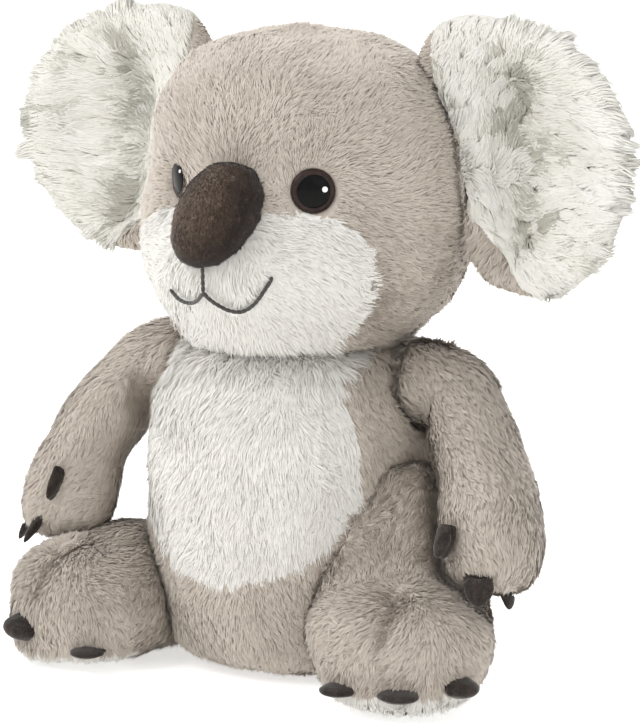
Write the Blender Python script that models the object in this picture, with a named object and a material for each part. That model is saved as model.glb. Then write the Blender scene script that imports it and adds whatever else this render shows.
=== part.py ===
"""A seated plush koala, built as its sewn covers, fillings, eyes, nose, ears, claws and stitches.

Frame: origin at the middle of the flat seat, +Z up, the koala faces -Y and its left side is +X.
Every outer surface stands at the top of the pile, so the pile is part of each cover's thickness.
"""

import math

import bmesh
import bpy
from mathutils import Matrix, Vector

# Shared thicknesses and clearances
plush_thickness = 0.004
seam_gap = 0.0003
cut_overrun = 0.012
panel_gap = 0.0003

# Body
body_height = 0.135
body_half_width = 0.0665
body_half_depth_front = 0.069
body_half_depth_back = 0.066
bean_pouch_height = 0.018
belly_half_width = 0.050
belly_bottom_height = 0.040
belly_round_height = 0.037

# Head
head_height = 0.130
head_half_width = 0.0715
head_half_depth_front = 0.068
head_half_depth_back = 0.070
snout_depth = 0.012
snout_half_width = 0.024
face_half_width = 0.057
face_top_above_neck = 0.0583
face_round_height = 0.034

# Nose
nose_half_width = 0.0185
nose_half_length = 0.0225
nose_half_thickness = 0.0135
nose_above_neck = 0.0575
nose_stand_out = 0.0015
nose_lean = math.radians(27)
nose_cover_thickness = 0.002

# Mouth
stitch_radius = 0.0006
lip_middle_above_neck = 0.0286
left_lip_width = 0.0245
left_lip_drop = 0.0095
left_lip_rise = 0.0062
right_lip_width = 0.0218
right_lip_drop = 0.0056
right_lip_fall = 0.0019

# Eyes
eye_radius = 0.0090
eye_dome_height = 0.0034
eye_rim_height = 0.0012
eye_spread = 0.0333
eye_above_neck = 0.0672
eye_turn = math.radians(38)
eye_sink = 0.0030
eye_stem_radius = 0.0020
eye_stem_length = 0.0120
washer_radius = 0.0060
washer_thickness = 0.0018
washer_behind_cover = 0.0024
washer_bore_gap = 0.0001
eye_pocket_gap = 0.0010

# Ears
ear_half_width = 0.058
ear_half_height = 0.057
ear_stand_out = 0.018
ear_above_neck = 0.0797
ear_hollow_out = 0.0145
ear_set_back = 0.008
ear_cup_depth = 0.013
ear_back_thickness = 0.0050
ear_front_thickness = 0.0115
ear_tuck = 0.0010
ear_fold = math.radians(10)

# Arms
arm_half_width = 0.0235
arm_half_thickness = 0.0170
shoulder_radius = 0.0195
shoulder_height = 0.121
shoulder_forward = 0.001
shoulder_sink = 0.0145
shoulder_gap = 0.0005
arm_body_gap = 0.0028
arm_room_gap = 0.0010
arm_spread = 0.056
arm_forward = 0.036
arm_drop = 0.078

# Legs
leg_half_width = 0.038
leg_axis_height = 0.028
foot_rise = 0.025
left_thigh_rise = 0.064
right_thigh_rise = 0.033
leg_root_out = 0.0485
leg_root_back = 0.006
leg_length = 0.097
leg_heading = math.radians(25)
sole_height = 0.009
floor_flat = 0.0005

# Claws
claw_half_length = 0.0100
claw_half_width = 0.0068
claw_half_thickness = 0.0042
foot_claw_half_width = 0.0086
foot_claw_half_length = 0.0085
foot_claw_height = 0.0145
foot_claw_spread = math.radians(41)

# Facets
body_sides = 24
head_sides = 26
lining_sides = 16
arm_sides = 14
leg_sides = 16
limb_lining_sides = 10
nose_sides = 14
eye_sides = 16
ear_sides = 22
claw_sides = 8
stitch_sides = 6

# Outlines, one row each: share of the length, then shares of the half width, the front half
# depth and the back half depth, then how square the section is (2 is an ellipse).
BODY_SHARES = (
    (0.000, 0.540, 0.550, 0.520, 2.0),
    (0.018, 0.720, 0.730, 0.700, 2.0),
    (0.067, 0.860, 0.850, 0.830, 2.0),
    (0.163, 0.940, 0.925, 0.920, 2.0),
    (0.296, 0.985, 0.970, 0.970, 2.0),
    (0.444, 1.000, 0.990, 0.995, 2.0),
    (0.593, 1.000, 1.000, 1.000, 2.0),
    (0.726, 0.985, 1.000, 0.980, 2.0),
    (0.830, 0.945, 0.985, 0.920, 2.0),
    (0.911, 0.860, 0.915, 0.815, 2.0),
    (0.970, 0.745, 0.820, 0.700, 2.0),
    (1.000, 0.660, 0.730, 0.620, 2.0),
)
# The head's rows end with a share of the snout's depth, which swells the middle of the front.
HEAD_SHARES = (
    (0.000, 0.620, 0.780, 0.590, 2.00, 0.00),
    (0.030, 0.700, 0.850, 0.660, 2.00, 0.10),
    (0.110, 0.840, 0.920, 0.800, 2.00, 0.65),
    (0.215, 0.965, 0.985, 0.925, 2.00, 1.00),
    (0.310, 1.000, 1.000, 0.985, 1.95, 0.95),
    (0.400, 0.995, 0.960, 1.000, 1.85, 0.66),
    (0.460, 0.990, 0.920, 1.000, 1.75, 0.42),
    (0.525, 0.980, 0.900, 1.000, 1.65, 0.15),
    (0.620, 0.955, 0.905, 0.975, 1.75, 0.00),
    (0.730, 0.900, 0.890, 0.905, 1.90, 0.00),
    (0.830, 0.800, 0.815, 0.790, 2.00, 0.00),
    (0.910, 0.655, 0.670, 0.620, 2.00, 0.00),
    (0.965, 0.440, 0.440, 0.400, 2.00, 0.00),
    (1.000, 0.000, 0.000, 0.000, 2.00, 0.00),
)
ARM_SHARES = (
    (0.000, 0.830, 1.130, 1.130, 2.0),
    (0.100, 0.830, 1.130, 1.130, 2.0),
    (0.220, 0.900, 1.150, 1.150, 2.0),
    (0.380, 0.980, 1.080, 1.060, 2.0),
    (0.540, 1.000, 1.060, 1.040, 2.0),
    (0.700, 1.000, 1.100, 1.080, 2.0),
    (0.820, 0.960, 1.100, 1.080, 2.0),
    (0.910, 0.800, 0.960, 0.940, 2.0),
    (0.970, 0.520, 0.640, 0.620, 2.0),
    (1.000, 0.000, 0.000, 0.000, 2.0),
)
# Leg rows: share of the length, half width, share of the sole's depth, how far the top has come
# from the thigh's rise (1) down to the foot's rise (0), share of that rise, squareness.
LEG_SHARES = (
    (0.000, 0.000, 0.000, 1.00, 0.00, 2.0),
    (0.050, 0.440, 0.600, 1.00, 0.60, 2.0),
    (0.150, 0.740, 0.900, 1.00, 0.88, 2.1),
    (0.300, 0.900, 1.000, 1.00, 1.00, 2.2),
    (0.420, 0.930, 1.000, 0.95, 1.00, 2.2),
    (0.500, 0.950, 1.000, 0.62, 1.00, 2.3),
    (0.560, 0.980, 1.000, 0.20, 1.00, 2.4),
    (0.630, 1.000, 1.000, 0.00, 1.00, 2.4),
    (0.740, 0.950, 1.000, 0.00, 0.95, 2.3),
    (0.840, 0.820, 0.980, 0.00, 0.80, 2.3),
    (0.920, 0.620, 0.900, 0.00, 0.58, 2.2),
    (0.975, 0.380, 0.680, 0.00, 0.32, 2.0),
    (1.000, 0.000, 0.000, 0.00, 0.00, 2.0),
)
PAD_SHARES = (
    (0.000, 0.000, 0.000, 0.000, 2.0),
    (0.060, 0.500, 0.500, 0.500, 2.0),
    (0.220, 0.840, 0.840, 0.840, 2.0),
    (0.480, 1.000, 1.000, 1.000, 2.0),
    (0.740, 0.880, 0.880, 0.880, 2.0),
    (0.920, 0.560, 0.560, 0.560, 2.0),
    (1.000, 0.000, 0.000, 0.000, 2.0),
)
CLAW_SHARES = (
    (0.000, 0.000, 0.000, 0.000, 2.0),
    (0.140, 0.720, 0.720, 0.720, 2.0),
    (0.480, 1.000, 1.000, 1.000, 2.0),
    (0.800, 0.740, 0.740, 0.740, 2.0),
    (0.950, 0.380, 0.380, 0.380, 2.0),
    (1.000, 0.000, 0.000, 0.000, 2.0),
)
# Ear rows: share from the hollow to the rim, share of the front and of the back thickness.
EAR_SHARES = (
    (0.00, 0.36, 0.70),
    (0.34, 0.62, 0.90),
    (0.68, 1.00, 1.00),
    (0.88, 0.82, 0.86),
    (1.00, 0.26, 0.44),
)
# Where the arm's curve bends: how far out the first bend is, then the second bend's place across,
# forward and down, all as shares of the arm's spread, forward reach and drop.
ARM_BEND_SHARES = (0.52, 0.86, 0.70, 0.40)
PAW_CLAW_SHARES = (0.790, 0.930, 0.975)
PAW_CLAW_TURNS = (math.radians(200), math.radians(172), math.radians(108))
paw_claw_tilt = math.radians(38)
foot_middle_share = 0.61
BELLY_SQUARENESS = 2.0
FACE_SQUARENESS = 3.2
claw_sunk_share = 0.62
small_step_share = 0.004

TAUPE = (0.565, 0.478, 0.404, 1.0)
WHITE = (0.84, 0.82, 0.78, 1.0)
FILL = (0.88, 0.88, 0.86, 1.0)
DARK = (0.050, 0.036, 0.030, 1.0)
BLACK = (0.010, 0.009, 0.009, 1.0)


def clear_scene():
    for old in list(bpy.data.objects):
        bpy.data.objects.remove(old, do_unlink=True)


def finish_material(name, colour, roughness, metallic=0.0):
    material = bpy.data.materials.new(name)
    material.use_nodes = True
    shader = material.node_tree.nodes["Principled BSDF"]
    shader.inputs["Base Color"].default_value = colour
    shader.inputs["Roughness"].default_value = roughness
    shader.inputs["Metallic"].default_value = metallic
    material.diffuse_color = colour
    return material


def mesh_object(name, bm, material):
    bmesh.ops.recalc_face_normals(bm, faces=bm.faces)
    bmesh.ops.triangulate(bm, faces=bm.faces)
    mesh = bpy.data.meshes.new(name)
    bm.to_mesh(mesh)
    bm.free()
    obj = bpy.data.objects.new(name, mesh)
    bpy.context.scene.collection.objects.link(obj)
    if material:
        mesh.materials.append(material)
        mesh.shade_smooth()
    return obj


def helper(obj):
    obj.hide_render = True
    obj.display_type = "WIRE"
    return obj


def boolean(obj, other, operation="DIFFERENCE"):
    step = obj.modifiers.new(operation.lower() + " " + other.name, "BOOLEAN")
    step.operation = operation
    step.object = other
    step.solver = "EXACT"


def skin_rings(bm, rings, closed_start, closed_end):
    """Joins rings of vertices into a closed body. An end is a flat cap, or a pole already in rings."""
    for low, high in zip(rings, rings[1:]):
        if len(low) == 1 or len(high) == 1:
            pole, ring = (low[0], high) if len(low) == 1 else (high[0], low)
            for one, two in zip(ring, ring[1:] + ring[:1]):
                bm.faces.new((pole, one, two))
            continue
        for k, corner in enumerate(low):
            nxt = (k + 1) % len(low)
            bm.faces.new((corner, low[nxt], high[nxt], high[k]))
    if closed_start:
        bm.faces.new(rings[0])
    if closed_end:
        bm.faces.new(rings[-1])


def straight_path(start, end):
    direction = (end - start).normalized()

    def at(distance):
        return start + direction * distance, direction

    return at, (end - start).length


def bent_path(points):
    """A cubic curve through its two ends, measured along its length."""
    a, b, c, d = points
    steps = 40

    def point(t):
        u = 1 - t
        return a * u**3 + b * (3 * u * u * t) + c * (3 * u * t * t) + d * t**3

    marks = [0.0]
    for k in range(steps):
        marks.append(marks[-1] + (point((k + 1) / steps) - point(k / steps)).length)
    length = marks[-1]

    def at(distance):
        if distance <= 0:
            direction = (b - a).normalized()
            return a + direction * distance, direction
        if distance >= length:
            direction = (d - c).normalized()
            return d + direction * (distance - length), direction
        k = max(i for i in range(steps) if marks[i] <= distance)
        t = (k + (distance - marks[k]) / (marks[k + 1] - marks[k])) / steps
        u = 1 - t
        slope = (b - a) * (u * u) + (c - b) * (2 * u * t) + (d - c) * (t * t)
        return point(t), slope.normalized()

    return at, length


def frame_at(form, distance):
    """Centre, sideways direction and upward direction of a form's section."""
    centre, along = form["path"](distance)
    side = (form["side"] - along * form["side"].dot(along)).normalized()
    return centre, side, along.cross(side)


def row_at(form, share):
    rows = form["rows"]
    if share <= rows[0][0]:
        return rows[0][1:]
    for low, high in zip(rows, rows[1:]):
        if share <= high[0]:
            mix = (share - low[0]) / (high[0] - low[0])
            return tuple(p + (q - p) * mix for p, q in zip(low[1:], high[1:]))
    return rows[-1][1:]


def section_point(row, angle, inset):
    """A point on a form's section: sideways and upward distances. The swelling is at the front."""
    half_side, below, above, square, swelling = row
    c, s = math.cos(angle), math.sin(angle)
    reach_up = (above if s > 0 else below) - inset
    x = math.copysign(abs(c) ** (2 / square), c) * (half_side - inset)
    y = math.copysign(abs(s) ** (2 / square), s) * reach_up
    if swelling and s < 0:
        y -= swelling * math.exp(-((x / snout_half_width) ** 2))
    return x, y


def mirrored(point, hand):
    return Vector((point.x * hand, point.y, point.z))


def form_point(form, share, angle, inset=0.0):
    """A point on a form's surface, and the outward direction there."""
    spots = []
    step = small_step_share
    for s, a in ((share, angle), (share + step, angle), (share - step, angle),
                 (share, angle + step), (share, angle - step)):
        centre, side, up = frame_at(form, s * form["length"])
        x, y = section_point(row_at(form, s), a, inset)
        spots.append(centre + side * x + up * y)
    outward = (spots[3] - spots[4]).cross(spots[1] - spots[2]).normalized()
    centre, _, _ = frame_at(form, share * form["length"])
    if outward.dot(spots[0] - centre) < 0:
        outward.negate()
    return spots[0], outward


def form_mesh(name, form, inset, sides, material=None, start=None, end=None, hand=1, floor=None):
    """A form drawn in by inset. A start or end given as a distance makes that end flat there."""
    length = form["length"]
    rows = form["rows"]
    first = inset if start is None else start
    last = length - inset if end is None else end
    spots = [first] + [row[0] * length for row in rows if first < row[0] * length < last] + [last]
    bm = bmesh.new()
    rings = []
    for spot in spots:
        centre, side, up = frame_at(form, spot)
        row = row_at(form, spot / length)
        pole_start = spot == first and start is None and rows[0][1] == 0
        pole_end = spot == last and end is None and rows[-1][1] == 0
        if pole_start or pole_end:
            rings.append([bm.verts.new(mirrored(centre, hand))])
            continue
        if min(row[:3]) - inset <= small_step_share * row[0]:
            continue
        ring = []
        for k in range(sides):
            x, y = section_point(row, (k + 0.5) * math.tau / sides, inset)
            point = centre + side * x + up * y
            if floor is not None:
                point.z = max(point.z, floor)
            ring.append(bm.verts.new(mirrored(point, hand)))
        rings.append(ring)
    skin_rings(bm, rings, len(rings[0]) > 1, len(rings[-1]) > 1)
    return mesh_object(name, bm, material)


def across(axis):
    """Two directions square to an axis."""
    away = Vector((0, 0, 1)) if abs(axis.z) < abs(axis.x) + abs(axis.y) else Vector((1, 0, 0))
    one = axis.cross(away).normalized()
    return one, axis.cross(one)


def turned(name, foot, axis, profile, sides, material=None, hand=1, ring=False):
    """Turns a profile of (distance along, radius) about an axis. A ring's profile is a closed loop."""
    one, two = across(axis)
    bm = bmesh.new()
    rings = []
    for distance, radius in profile:
        if radius == 0:
            rings.append([bm.verts.new(mirrored(foot + axis * distance, hand))])
            continue
        spots = []
        for k in range(sides):
            angle = k * math.tau / sides
            out = one * math.cos(angle) + two * math.sin(angle)
            spots.append(bm.verts.new(mirrored(foot + axis * distance + out * radius, hand)))
        rings.append(spots)
    if ring:
        skin_rings(bm, rings + rings[:1], False, False)
    else:
        skin_rings(bm, rings, len(rings[0]) > 1, len(rings[-1]) > 1)
    return mesh_object(name, bm, material)


def prism(name, outline, near, far):
    """A cutter standing on an outline of (x, z), from one y to another."""
    bm = bmesh.new()
    rings = [[bm.verts.new((x, y, z)) for x, z in outline] for y in (near, far)]
    skin_rings(bm, rings, True, True)
    return helper(mesh_object(name, bm, None))


def slab(name, low, high, reach):
    """A cutter that takes everything between two heights."""
    outline = [(-reach, low), (reach, low), (reach, high), (-reach, high)]
    return prism(name, outline, -reach, reach)


def tube(name, points, radius, sides, material):
    bm = bmesh.new()
    rings = []
    for k, point in enumerate(points):
        along = (points[min(k + 1, len(points) - 1)] - points[max(k - 1, 0)]).normalized()
        one, two = across(along) if k == 0 else (last - along * last.dot(along), None)
        one = one.normalized()
        last = one
        two = along.cross(one)
        rings.append([
            bm.verts.new(point + (one * math.cos(a) + two * math.sin(a)) * radius)
            for a in (k * math.tau / sides for k in range(sides))
        ])
    skin_rings(bm, rings, True, True)
    return mesh_object(name, bm, material)


def rows_of(shares, half_width, below, above, swelling=0.0):
    """A table's rows in metres. Only the head's table has a last column, for its snout."""
    rows = []
    for share, wide, front, back, square, *swell in shares:
        depth = swell[0] * swelling if swell else 0.0
        rows.append((share, wide * half_width, front * below, back * above, square, depth))
    return rows


def body_form():
    path, length = straight_path(Vector((0, 0, 0)), Vector((0, 0, body_height)))
    rows = rows_of(BODY_SHARES, body_half_width, body_half_depth_front, body_half_depth_back)
    return {"path": path, "length": length, "side": Vector((1, 0, 0)), "rows": rows}


def head_form():
    neck = body_height + seam_gap
    path, length = straight_path(Vector((0, 0, neck)), Vector((0, 0, neck + head_height)))
    rows = rows_of(HEAD_SHARES, head_half_width, head_half_depth_front, head_half_depth_back,
                   snout_depth)
    return {"path": path, "length": length, "side": Vector((1, 0, 0)), "rows": rows, "foot": neck}


def arm_form():
    out, over, ahead, down = ARM_BEND_SHARES
    root = Vector((body_half_width - shoulder_sink, -shoulder_forward, shoulder_height))
    tip = root + Vector((arm_spread, -arm_forward, -arm_drop))
    first = root + Vector((arm_spread * out, 0, 0))
    second = root + Vector((arm_spread * over, -arm_forward * ahead, -arm_drop * down))
    path, length = bent_path((root, first, second, tip))
    rows = rows_of(ARM_SHARES, arm_half_width, arm_half_thickness, arm_half_thickness)
    return {"path": path, "length": length, "side": Vector((0, 1, 0)), "rows": rows, "root": root}


def leg_form(thigh_rise):
    root = Vector((leg_root_out, leg_root_back, leg_axis_height))
    heading = Vector((math.sin(leg_heading), -math.cos(leg_heading), 0))
    path, length = straight_path(root, root + heading * leg_length)
    depth = leg_axis_height + floor_flat
    rows = []
    for share, width, sole, thigh, rise, square in LEG_SHARES:
        top = foot_rise + (thigh_rise - foot_rise) * thigh
        rows.append((share, width * leg_half_width, sole * depth, rise * top, square, 0.0))
    side = Vector((math.cos(leg_heading), math.sin(leg_heading), 0))
    return {"path": path, "length": length, "side": side, "rows": rows, "heading": heading}


def nose_form(head):
    height = head["foot"] + nose_above_neck
    _, front, _, _, snout = row_at(head, nose_above_neck / head_height)
    middle = Vector((0, -front - snout - nose_stand_out, height))
    along = Vector((0, math.sin(nose_lean), math.cos(nose_lean)))
    path, length = straight_path(middle - along * nose_half_length, middle + along * nose_half_length)
    rows = rows_of(PAD_SHARES, nose_half_width, nose_half_thickness, nose_half_thickness)
    return {"path": path, "length": length, "side": Vector((1, 0, 0)), "rows": rows}


def face_angle(head, share, x):
    """The section angle of the head's front at a sideways distance x."""
    half_side, _, _, square, _ = row_at(head, share)
    return -math.acos(math.copysign((abs(x) / half_side) ** (square / 2), x))


def on_facets(head, x, above_neck):
    """The point of the head's flat facets in front of x, and the outward direction there."""
    share = above_neck / head_height
    row = row_at(head, share)
    corners = [section_point(row, (k + 0.5) * math.tau / head_sides, 0) for k in range(head_sides)]
    _, outward = form_point(head, share, face_angle(head, share, x))
    for one, two in zip(corners, corners[1:]):
        if one[0] <= x <= two[0]:
            y = one[1] + (two[1] - one[1]) * (x - one[0]) / (two[0] - one[0])
            return Vector((x, y, head["foot"] + above_neck)), outward


def bib_outline(half_width, edge, round_height, away, shrink, square):
    """A U or an arch: a rounded end at edge, and straight sides running away to the far end."""
    turn = math.copysign(1, away - edge)
    middle = edge + turn * round_height
    points = [(half_width - shrink, away), (-half_width + shrink, away)]
    steps = 14
    for k in range(steps + 1):
        c, s = math.cos(math.pi * k / steps), math.sin(math.pi * k / steps)
        x = -math.copysign(abs(c) ** (2 / square), c) * (half_width - shrink)
        points.append((x, middle - turn * s ** (2 / square) * (round_height - shrink)))
    return points


def build_body(body, finishes):
    outline = helper(form_mesh("body_outline", body, -seam_gap, body_sides, start=-seam_gap,
                               end=body_height))
    lining = helper(form_mesh("body_lining", body, plush_thickness, lining_sides,
                              end=body_height + cut_overrun))
    far = -body_half_depth_front - cut_overrun
    top = body_height + cut_overrun
    bounds = (belly_half_width, belly_bottom_height, belly_round_height, top)
    window = prism("belly_window", bib_outline(*bounds, 0, BELLY_SQUARENESS), far, 0)
    bib = prism("belly_bib", bib_outline(*bounds, panel_gap, BELLY_SQUARENESS), far, 0)
    cover = form_mesh("body_cover", body, 0, body_sides, finishes["taupe"], end=body_height)
    panel = form_mesh("belly_panel", body, 0, body_sides, finishes["white"], end=body_height)
    for piece in (cover, panel):
        boolean(piece, lining)
    boolean(cover, window)
    boolean(panel, bib, "INTERSECT")
    inner = plush_thickness + seam_gap
    filling = form_mesh("body_filling", body, inner, lining_sides, finishes["fill"],
                        end=body_height)
    pouch = form_mesh("bean_pouch", body, inner, lining_sides, finishes["pouch"], end=body_height)
    reach = body_half_width + cut_overrun
    low = slab("pouch_room", -cut_overrun, bean_pouch_height + seam_gap, reach)
    high = slab("filling_room", bean_pouch_height, top, reach)
    boolean(filling, low)
    boolean(pouch, high)
    for hand, name in ((1, "left"), (-1, "right")):
        centre = Vector((0, -shoulder_forward, shoulder_height))
        seat = body_half_width - shoulder_sink
        profile = [(seat - seam_gap, shoulder_radius + shoulder_gap),
                   (body_half_width + cut_overrun, shoulder_radius + shoulder_gap)]
        armhole = helper(turned("armhole_" + name, centre, Vector((1, 0, 0)), profile,
                                arm_sides, hand=hand))
        boolean(cover, armhole)
        boolean(filling, armhole)
    return outline


def build_head(head, finishes):
    outline = helper(form_mesh("head_outline", head, -seam_gap, head_sides, start=-cut_overrun))
    lining = helper(form_mesh("head_lining", head, plush_thickness, lining_sides,
                              start=-cut_overrun))
    edge = head["foot"] + face_top_above_neck
    far = -head_half_depth_front - snout_depth - cut_overrun
    low = head["foot"] - cut_overrun
    bounds = (face_half_width, edge, face_round_height, low)
    window = prism("face_window", bib_outline(*bounds, 0, FACE_SQUARENESS), far, 0)
    patch = prism("face_patch", bib_outline(*bounds, panel_gap, FACE_SQUARENESS), far, 0)
    cover = form_mesh("head_cover", head, 0, head_sides, finishes["taupe"], start=0)
    panel = form_mesh("face_panel", head, 0, head_sides, finishes["white"], start=0)
    for piece in (cover, panel):
        boolean(piece, lining)
    boolean(cover, window)
    boolean(panel, patch, "INTERSECT")
    filling = form_mesh("head_filling", head, plush_thickness + seam_gap, lining_sides,
                        finishes["fill"], start=0)
    pieces = [cover, panel, filling]
    pieces += build_eyes(head, cover, panel, filling, finishes)
    pieces += build_nose(head, outline, finishes)
    pieces += build_mouth(head, finishes)
    return pieces, outline


def build_eyes(head, cover, panel, filling, finishes):
    """Two domed eyes in flat round seats. Each stem goes through the cover and a washer holds it."""
    share = eye_above_neck / head_height
    spot, outward = form_point(head, share, face_angle(head, share, eye_spread))
    foot = spot - outward * eye_sink
    axis = Vector((math.sin(eye_turn), -math.cos(eye_turn), 0))
    dome = [(eye_rim_height, eye_radius)]
    steps = 4
    for k in range(1, steps + 1):
        angle = math.pi / 2 * k / steps
        height = eye_rim_height + (eye_dome_height - eye_rim_height) * math.sin(angle)
        dome.append((height, eye_radius * math.cos(angle) if k < steps else 0))
    profile = [(-eye_stem_length, eye_stem_radius), (0, eye_stem_radius), (0, eye_radius)] + dome
    bore = eye_stem_radius + washer_bore_gap
    near = -plush_thickness - washer_behind_cover
    far = near - washer_thickness
    loop = [(near, bore), (near, washer_radius), (far, washer_radius), (far, bore)]
    hole_radius = eye_stem_radius + seam_gap
    hole = [(-eye_stem_length, hole_radius), (0, hole_radius)]
    seat_radius = eye_radius + seam_gap
    seat = [(-seam_gap, seat_radius), (cut_overrun, seat_radius)]
    room_radius = washer_radius + eye_pocket_gap
    room = [(-eye_stem_length - eye_pocket_gap, room_radius), (0, room_radius)]
    made = []
    for hand, name in ((1, "left"), (-1, "right")):
        made.append(turned("eye_" + name, foot, axis, profile, eye_sides, finishes["eye"], hand))
        made.append(turned("eye_washer_" + name, foot, axis, loop, eye_sides,
                           finishes["washer"], hand, ring=True))
        cutters = []
        for label, shape in (("hole", hole), ("seat", seat), ("room", room)):
            cutters.append(helper(turned(f"eye_{label}_{name}", foot, axis, shape, eye_sides,
                                         hand=hand)))
        boolean(cover, cutters[0])
        boolean(filling, cutters[2])
        for piece in (cover, panel, filling):
            boolean(piece, cutters[1])
    return made


def build_nose(head, outline, finishes):
    nose = nose_form(head)
    cover = form_mesh("nose_cover", nose, 0, nose_sides, finishes["nose"])
    lining = helper(form_mesh("nose_lining", nose, nose_cover_thickness, nose_sides))
    filling = form_mesh("nose_filling", nose, nose_cover_thickness + seam_gap, nose_sides,
                        finishes["fill"])
    boolean(cover, lining)
    boolean(cover, outline)
    boolean(filling, outline)
    return [cover, filling]


def build_mouth(head, finishes):
    """The lips' stitched line, and the short line that joins it to the nose."""
    lift = stitch_radius + seam_gap
    middle = lip_middle_above_neck
    lips = []
    half_steps = 9
    for k in range(-half_steps, half_steps + 1):
        way = k / half_steps
        sag = math.sin(math.pi * abs(way))
        if way > 0:
            width, drop, rise = left_lip_width, left_lip_drop, left_lip_rise
        else:
            width, drop, rise = right_lip_width, right_lip_drop, -right_lip_fall
        spot, outward = on_facets(head, width * way, middle + rise * way * way - drop * sag)
        lips.append(spot + outward * lift)
    nose_foot = nose_above_neck - nose_half_length * math.cos(nose_lean) - stitch_radius * 2
    start = middle + stitch_radius * 2 + seam_gap
    line = []
    drop_steps = 3
    for k in range(drop_steps + 1):
        spot, outward = on_facets(head, 0, start + (nose_foot - start) * k / drop_steps)
        line.append(spot + outward * lift)
    return [tube("lip_stitch", lips, stitch_radius, stitch_sides, finishes["thread"]),
            tube("nose_stitch", line, stitch_radius, stitch_sides, finishes["thread"])]


def ear_shape(head):
    """The ear's hollow, its rim's reach at each angle, and its root's hinge: a point and an axis."""
    middle_x = head_half_width + ear_stand_out
    middle_z = head["foot"] + ear_above_neck
    hollow = Vector((middle_x + ear_hollow_out, ear_set_back, middle_z))
    step = ear_half_width * small_step_share

    def in_head(x, z):
        share = (z - head["foot"]) / head_height
        if not 0 < share < 1:
            return False
        side, _, back, square, _ = row_at(head, share)
        return (abs(x) / side) ** square + (ear_set_back / back) ** square < 1

    def in_rim(x, z):
        across_ear = (x - middle_x) / ear_half_width
        up_ear = (z - middle_z) / ear_half_height
        return across_ear**2 + up_ear**2 < 1

    reach = []
    root = []
    for k in range(ear_sides):
        angle = k * math.tau / ear_sides
        out = Vector((math.cos(angle), 0, math.sin(angle)))
        r = 0
        while True:
            spot = hollow + out * r
            if in_head(spot.x, spot.z):
                root.append(spot)
                r += ear_tuck
                break
            if not in_rim(spot.x, spot.z):
                break
            r += step
        reach.append(r)
    top = max(root, key=lambda spot: spot.z)
    bottom = min(root, key=lambda spot: spot.z)
    bulge = max(root, key=lambda spot: spot.x)
    hinge = ((top + bottom) / 2 + bulge) / 2
    return hollow, reach, hinge, (top - bottom).normalized()


def build_ear(head, head_outline, hand, name, finishes):
    """A white front and a taupe back, cut to the head at rest and at both ends of the ear's fold."""
    hollow, reach, hinge, hinge_axis = ear_shape(head)
    place = Matrix.Translation(mirrored(hinge, hand))
    outlines = [head_outline]
    for turn in (-ear_fold, ear_fold):
        folded = helper(bpy.data.objects.new("folded_" + head_outline.name, head_outline.data))
        bpy.context.scene.collection.objects.link(folded)
        spin = Matrix.Rotation(turn, 4, mirrored(hinge_axis, hand))
        folded.matrix_world = place @ spin @ place.inverted()
        outlines.append(folded)
    made = []
    for layer, finish in (("front", "ear"), ("back", "taupe")):
        bm = bmesh.new()
        inner, outer = [], []
        for share, front_share, back_share in EAR_SHARES:
            cup = ear_cup_depth * (1 - share * share)
            if layer == "front":
                near = -panel_gap / 2
                deep = near - ear_front_thickness * front_share
            else:
                near = panel_gap / 2
                deep = near + ear_back_thickness * back_share
            for rings, offset in ((inner, near), (outer, deep)):
                spots = []
                for k in range(ear_sides if share else 1):
                    angle = k * math.tau / ear_sides
                    out = Vector((math.cos(angle), 0, math.sin(angle))) * reach[k] * share
                    point = hollow + out + Vector((0, cup + offset, 0))
                    spots.append(bm.verts.new(mirrored(point, hand)))
                rings.append(spots)
        skin_rings(bm, inner + outer[::-1], False, False)
        panel = mesh_object("ear_" + layer + "_" + name, bm, finishes[finish])
        for outline in outlines:
            boolean(panel, outline)
        made.append(panel)
    return made


def shoulder_trim(arm, name, inset, hand):
    """Takes off what lies nearer the body than the arm's swing allows, round its shoulder."""
    centre = Vector((0, arm["root"].y, arm["root"].z))
    start = arm["root"].x - cut_overrun * 2
    face = body_half_width + arm_body_gap + inset
    reach = shoulder_radius * 3
    core = shoulder_radius - inset
    loop = [(start, core), (start, reach), (face, reach), (face, core)]
    return helper(turned(name, centre, Vector((1, 0, 0)), loop, arm_sides * 2, hand=hand,
                         ring=True))


def arm_room(arm, name, inset, hand):
    """The space that the arm and its claws sweep as it swings, drawn out by inset: turned about
    the shoulder's axis to the farthest reach of the arm at each distance from the body."""
    reached = []
    along_steps, round_steps = 40, 16
    for i in range(along_steps + 1):
        for k in range(round_steps):
            spot, _ = form_point(arm, i / along_steps, k * math.tau / round_steps)
            reached.append(spot)
    for base, direction, _ in paw_claws(arm):
        tip = base + direction * claw_half_length * 2 * (1 - claw_sunk_share)
        for side in (-claw_half_width, claw_half_width):
            reached.append(tip + Vector((side, 0, 0)))
    root = arm["root"]
    near = body_half_width + arm_body_gap - arm_room_gap
    far = max(spot.x for spot in reached) + arm_room_gap
    bins = 14
    profile = []
    for j in range(bins + 1):
        x = near + (far - near) * j / bins
        limit = x + (far - near) / bins
        radius = max(math.hypot(s.y - root.y, s.z - root.z) for s in reached if s.x <= limit)
        profile.append((x - inset, radius + arm_room_gap + inset))
    profile.append((far + inset, profile[-1][1]))
    centre = Vector((0, root.y, root.z))
    return helper(turned(name, centre, Vector((1, 0, 0)), profile, arm_sides * 2, hand=hand))


def paw_claws(arm):
    """Each claw of the paw: where it leaves the paw, its direction, and the way that it faces."""
    claws = []
    for share, turn in zip(PAW_CLAW_SHARES, PAW_CLAW_TURNS):
        base, outward = form_point(arm, share, turn)
        _, along = arm["path"](share * arm["length"])
        direction = along * math.cos(paw_claw_tilt) + outward * math.sin(paw_claw_tilt)
        claws.append((base, direction.normalized(), outward))
    return claws


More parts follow.
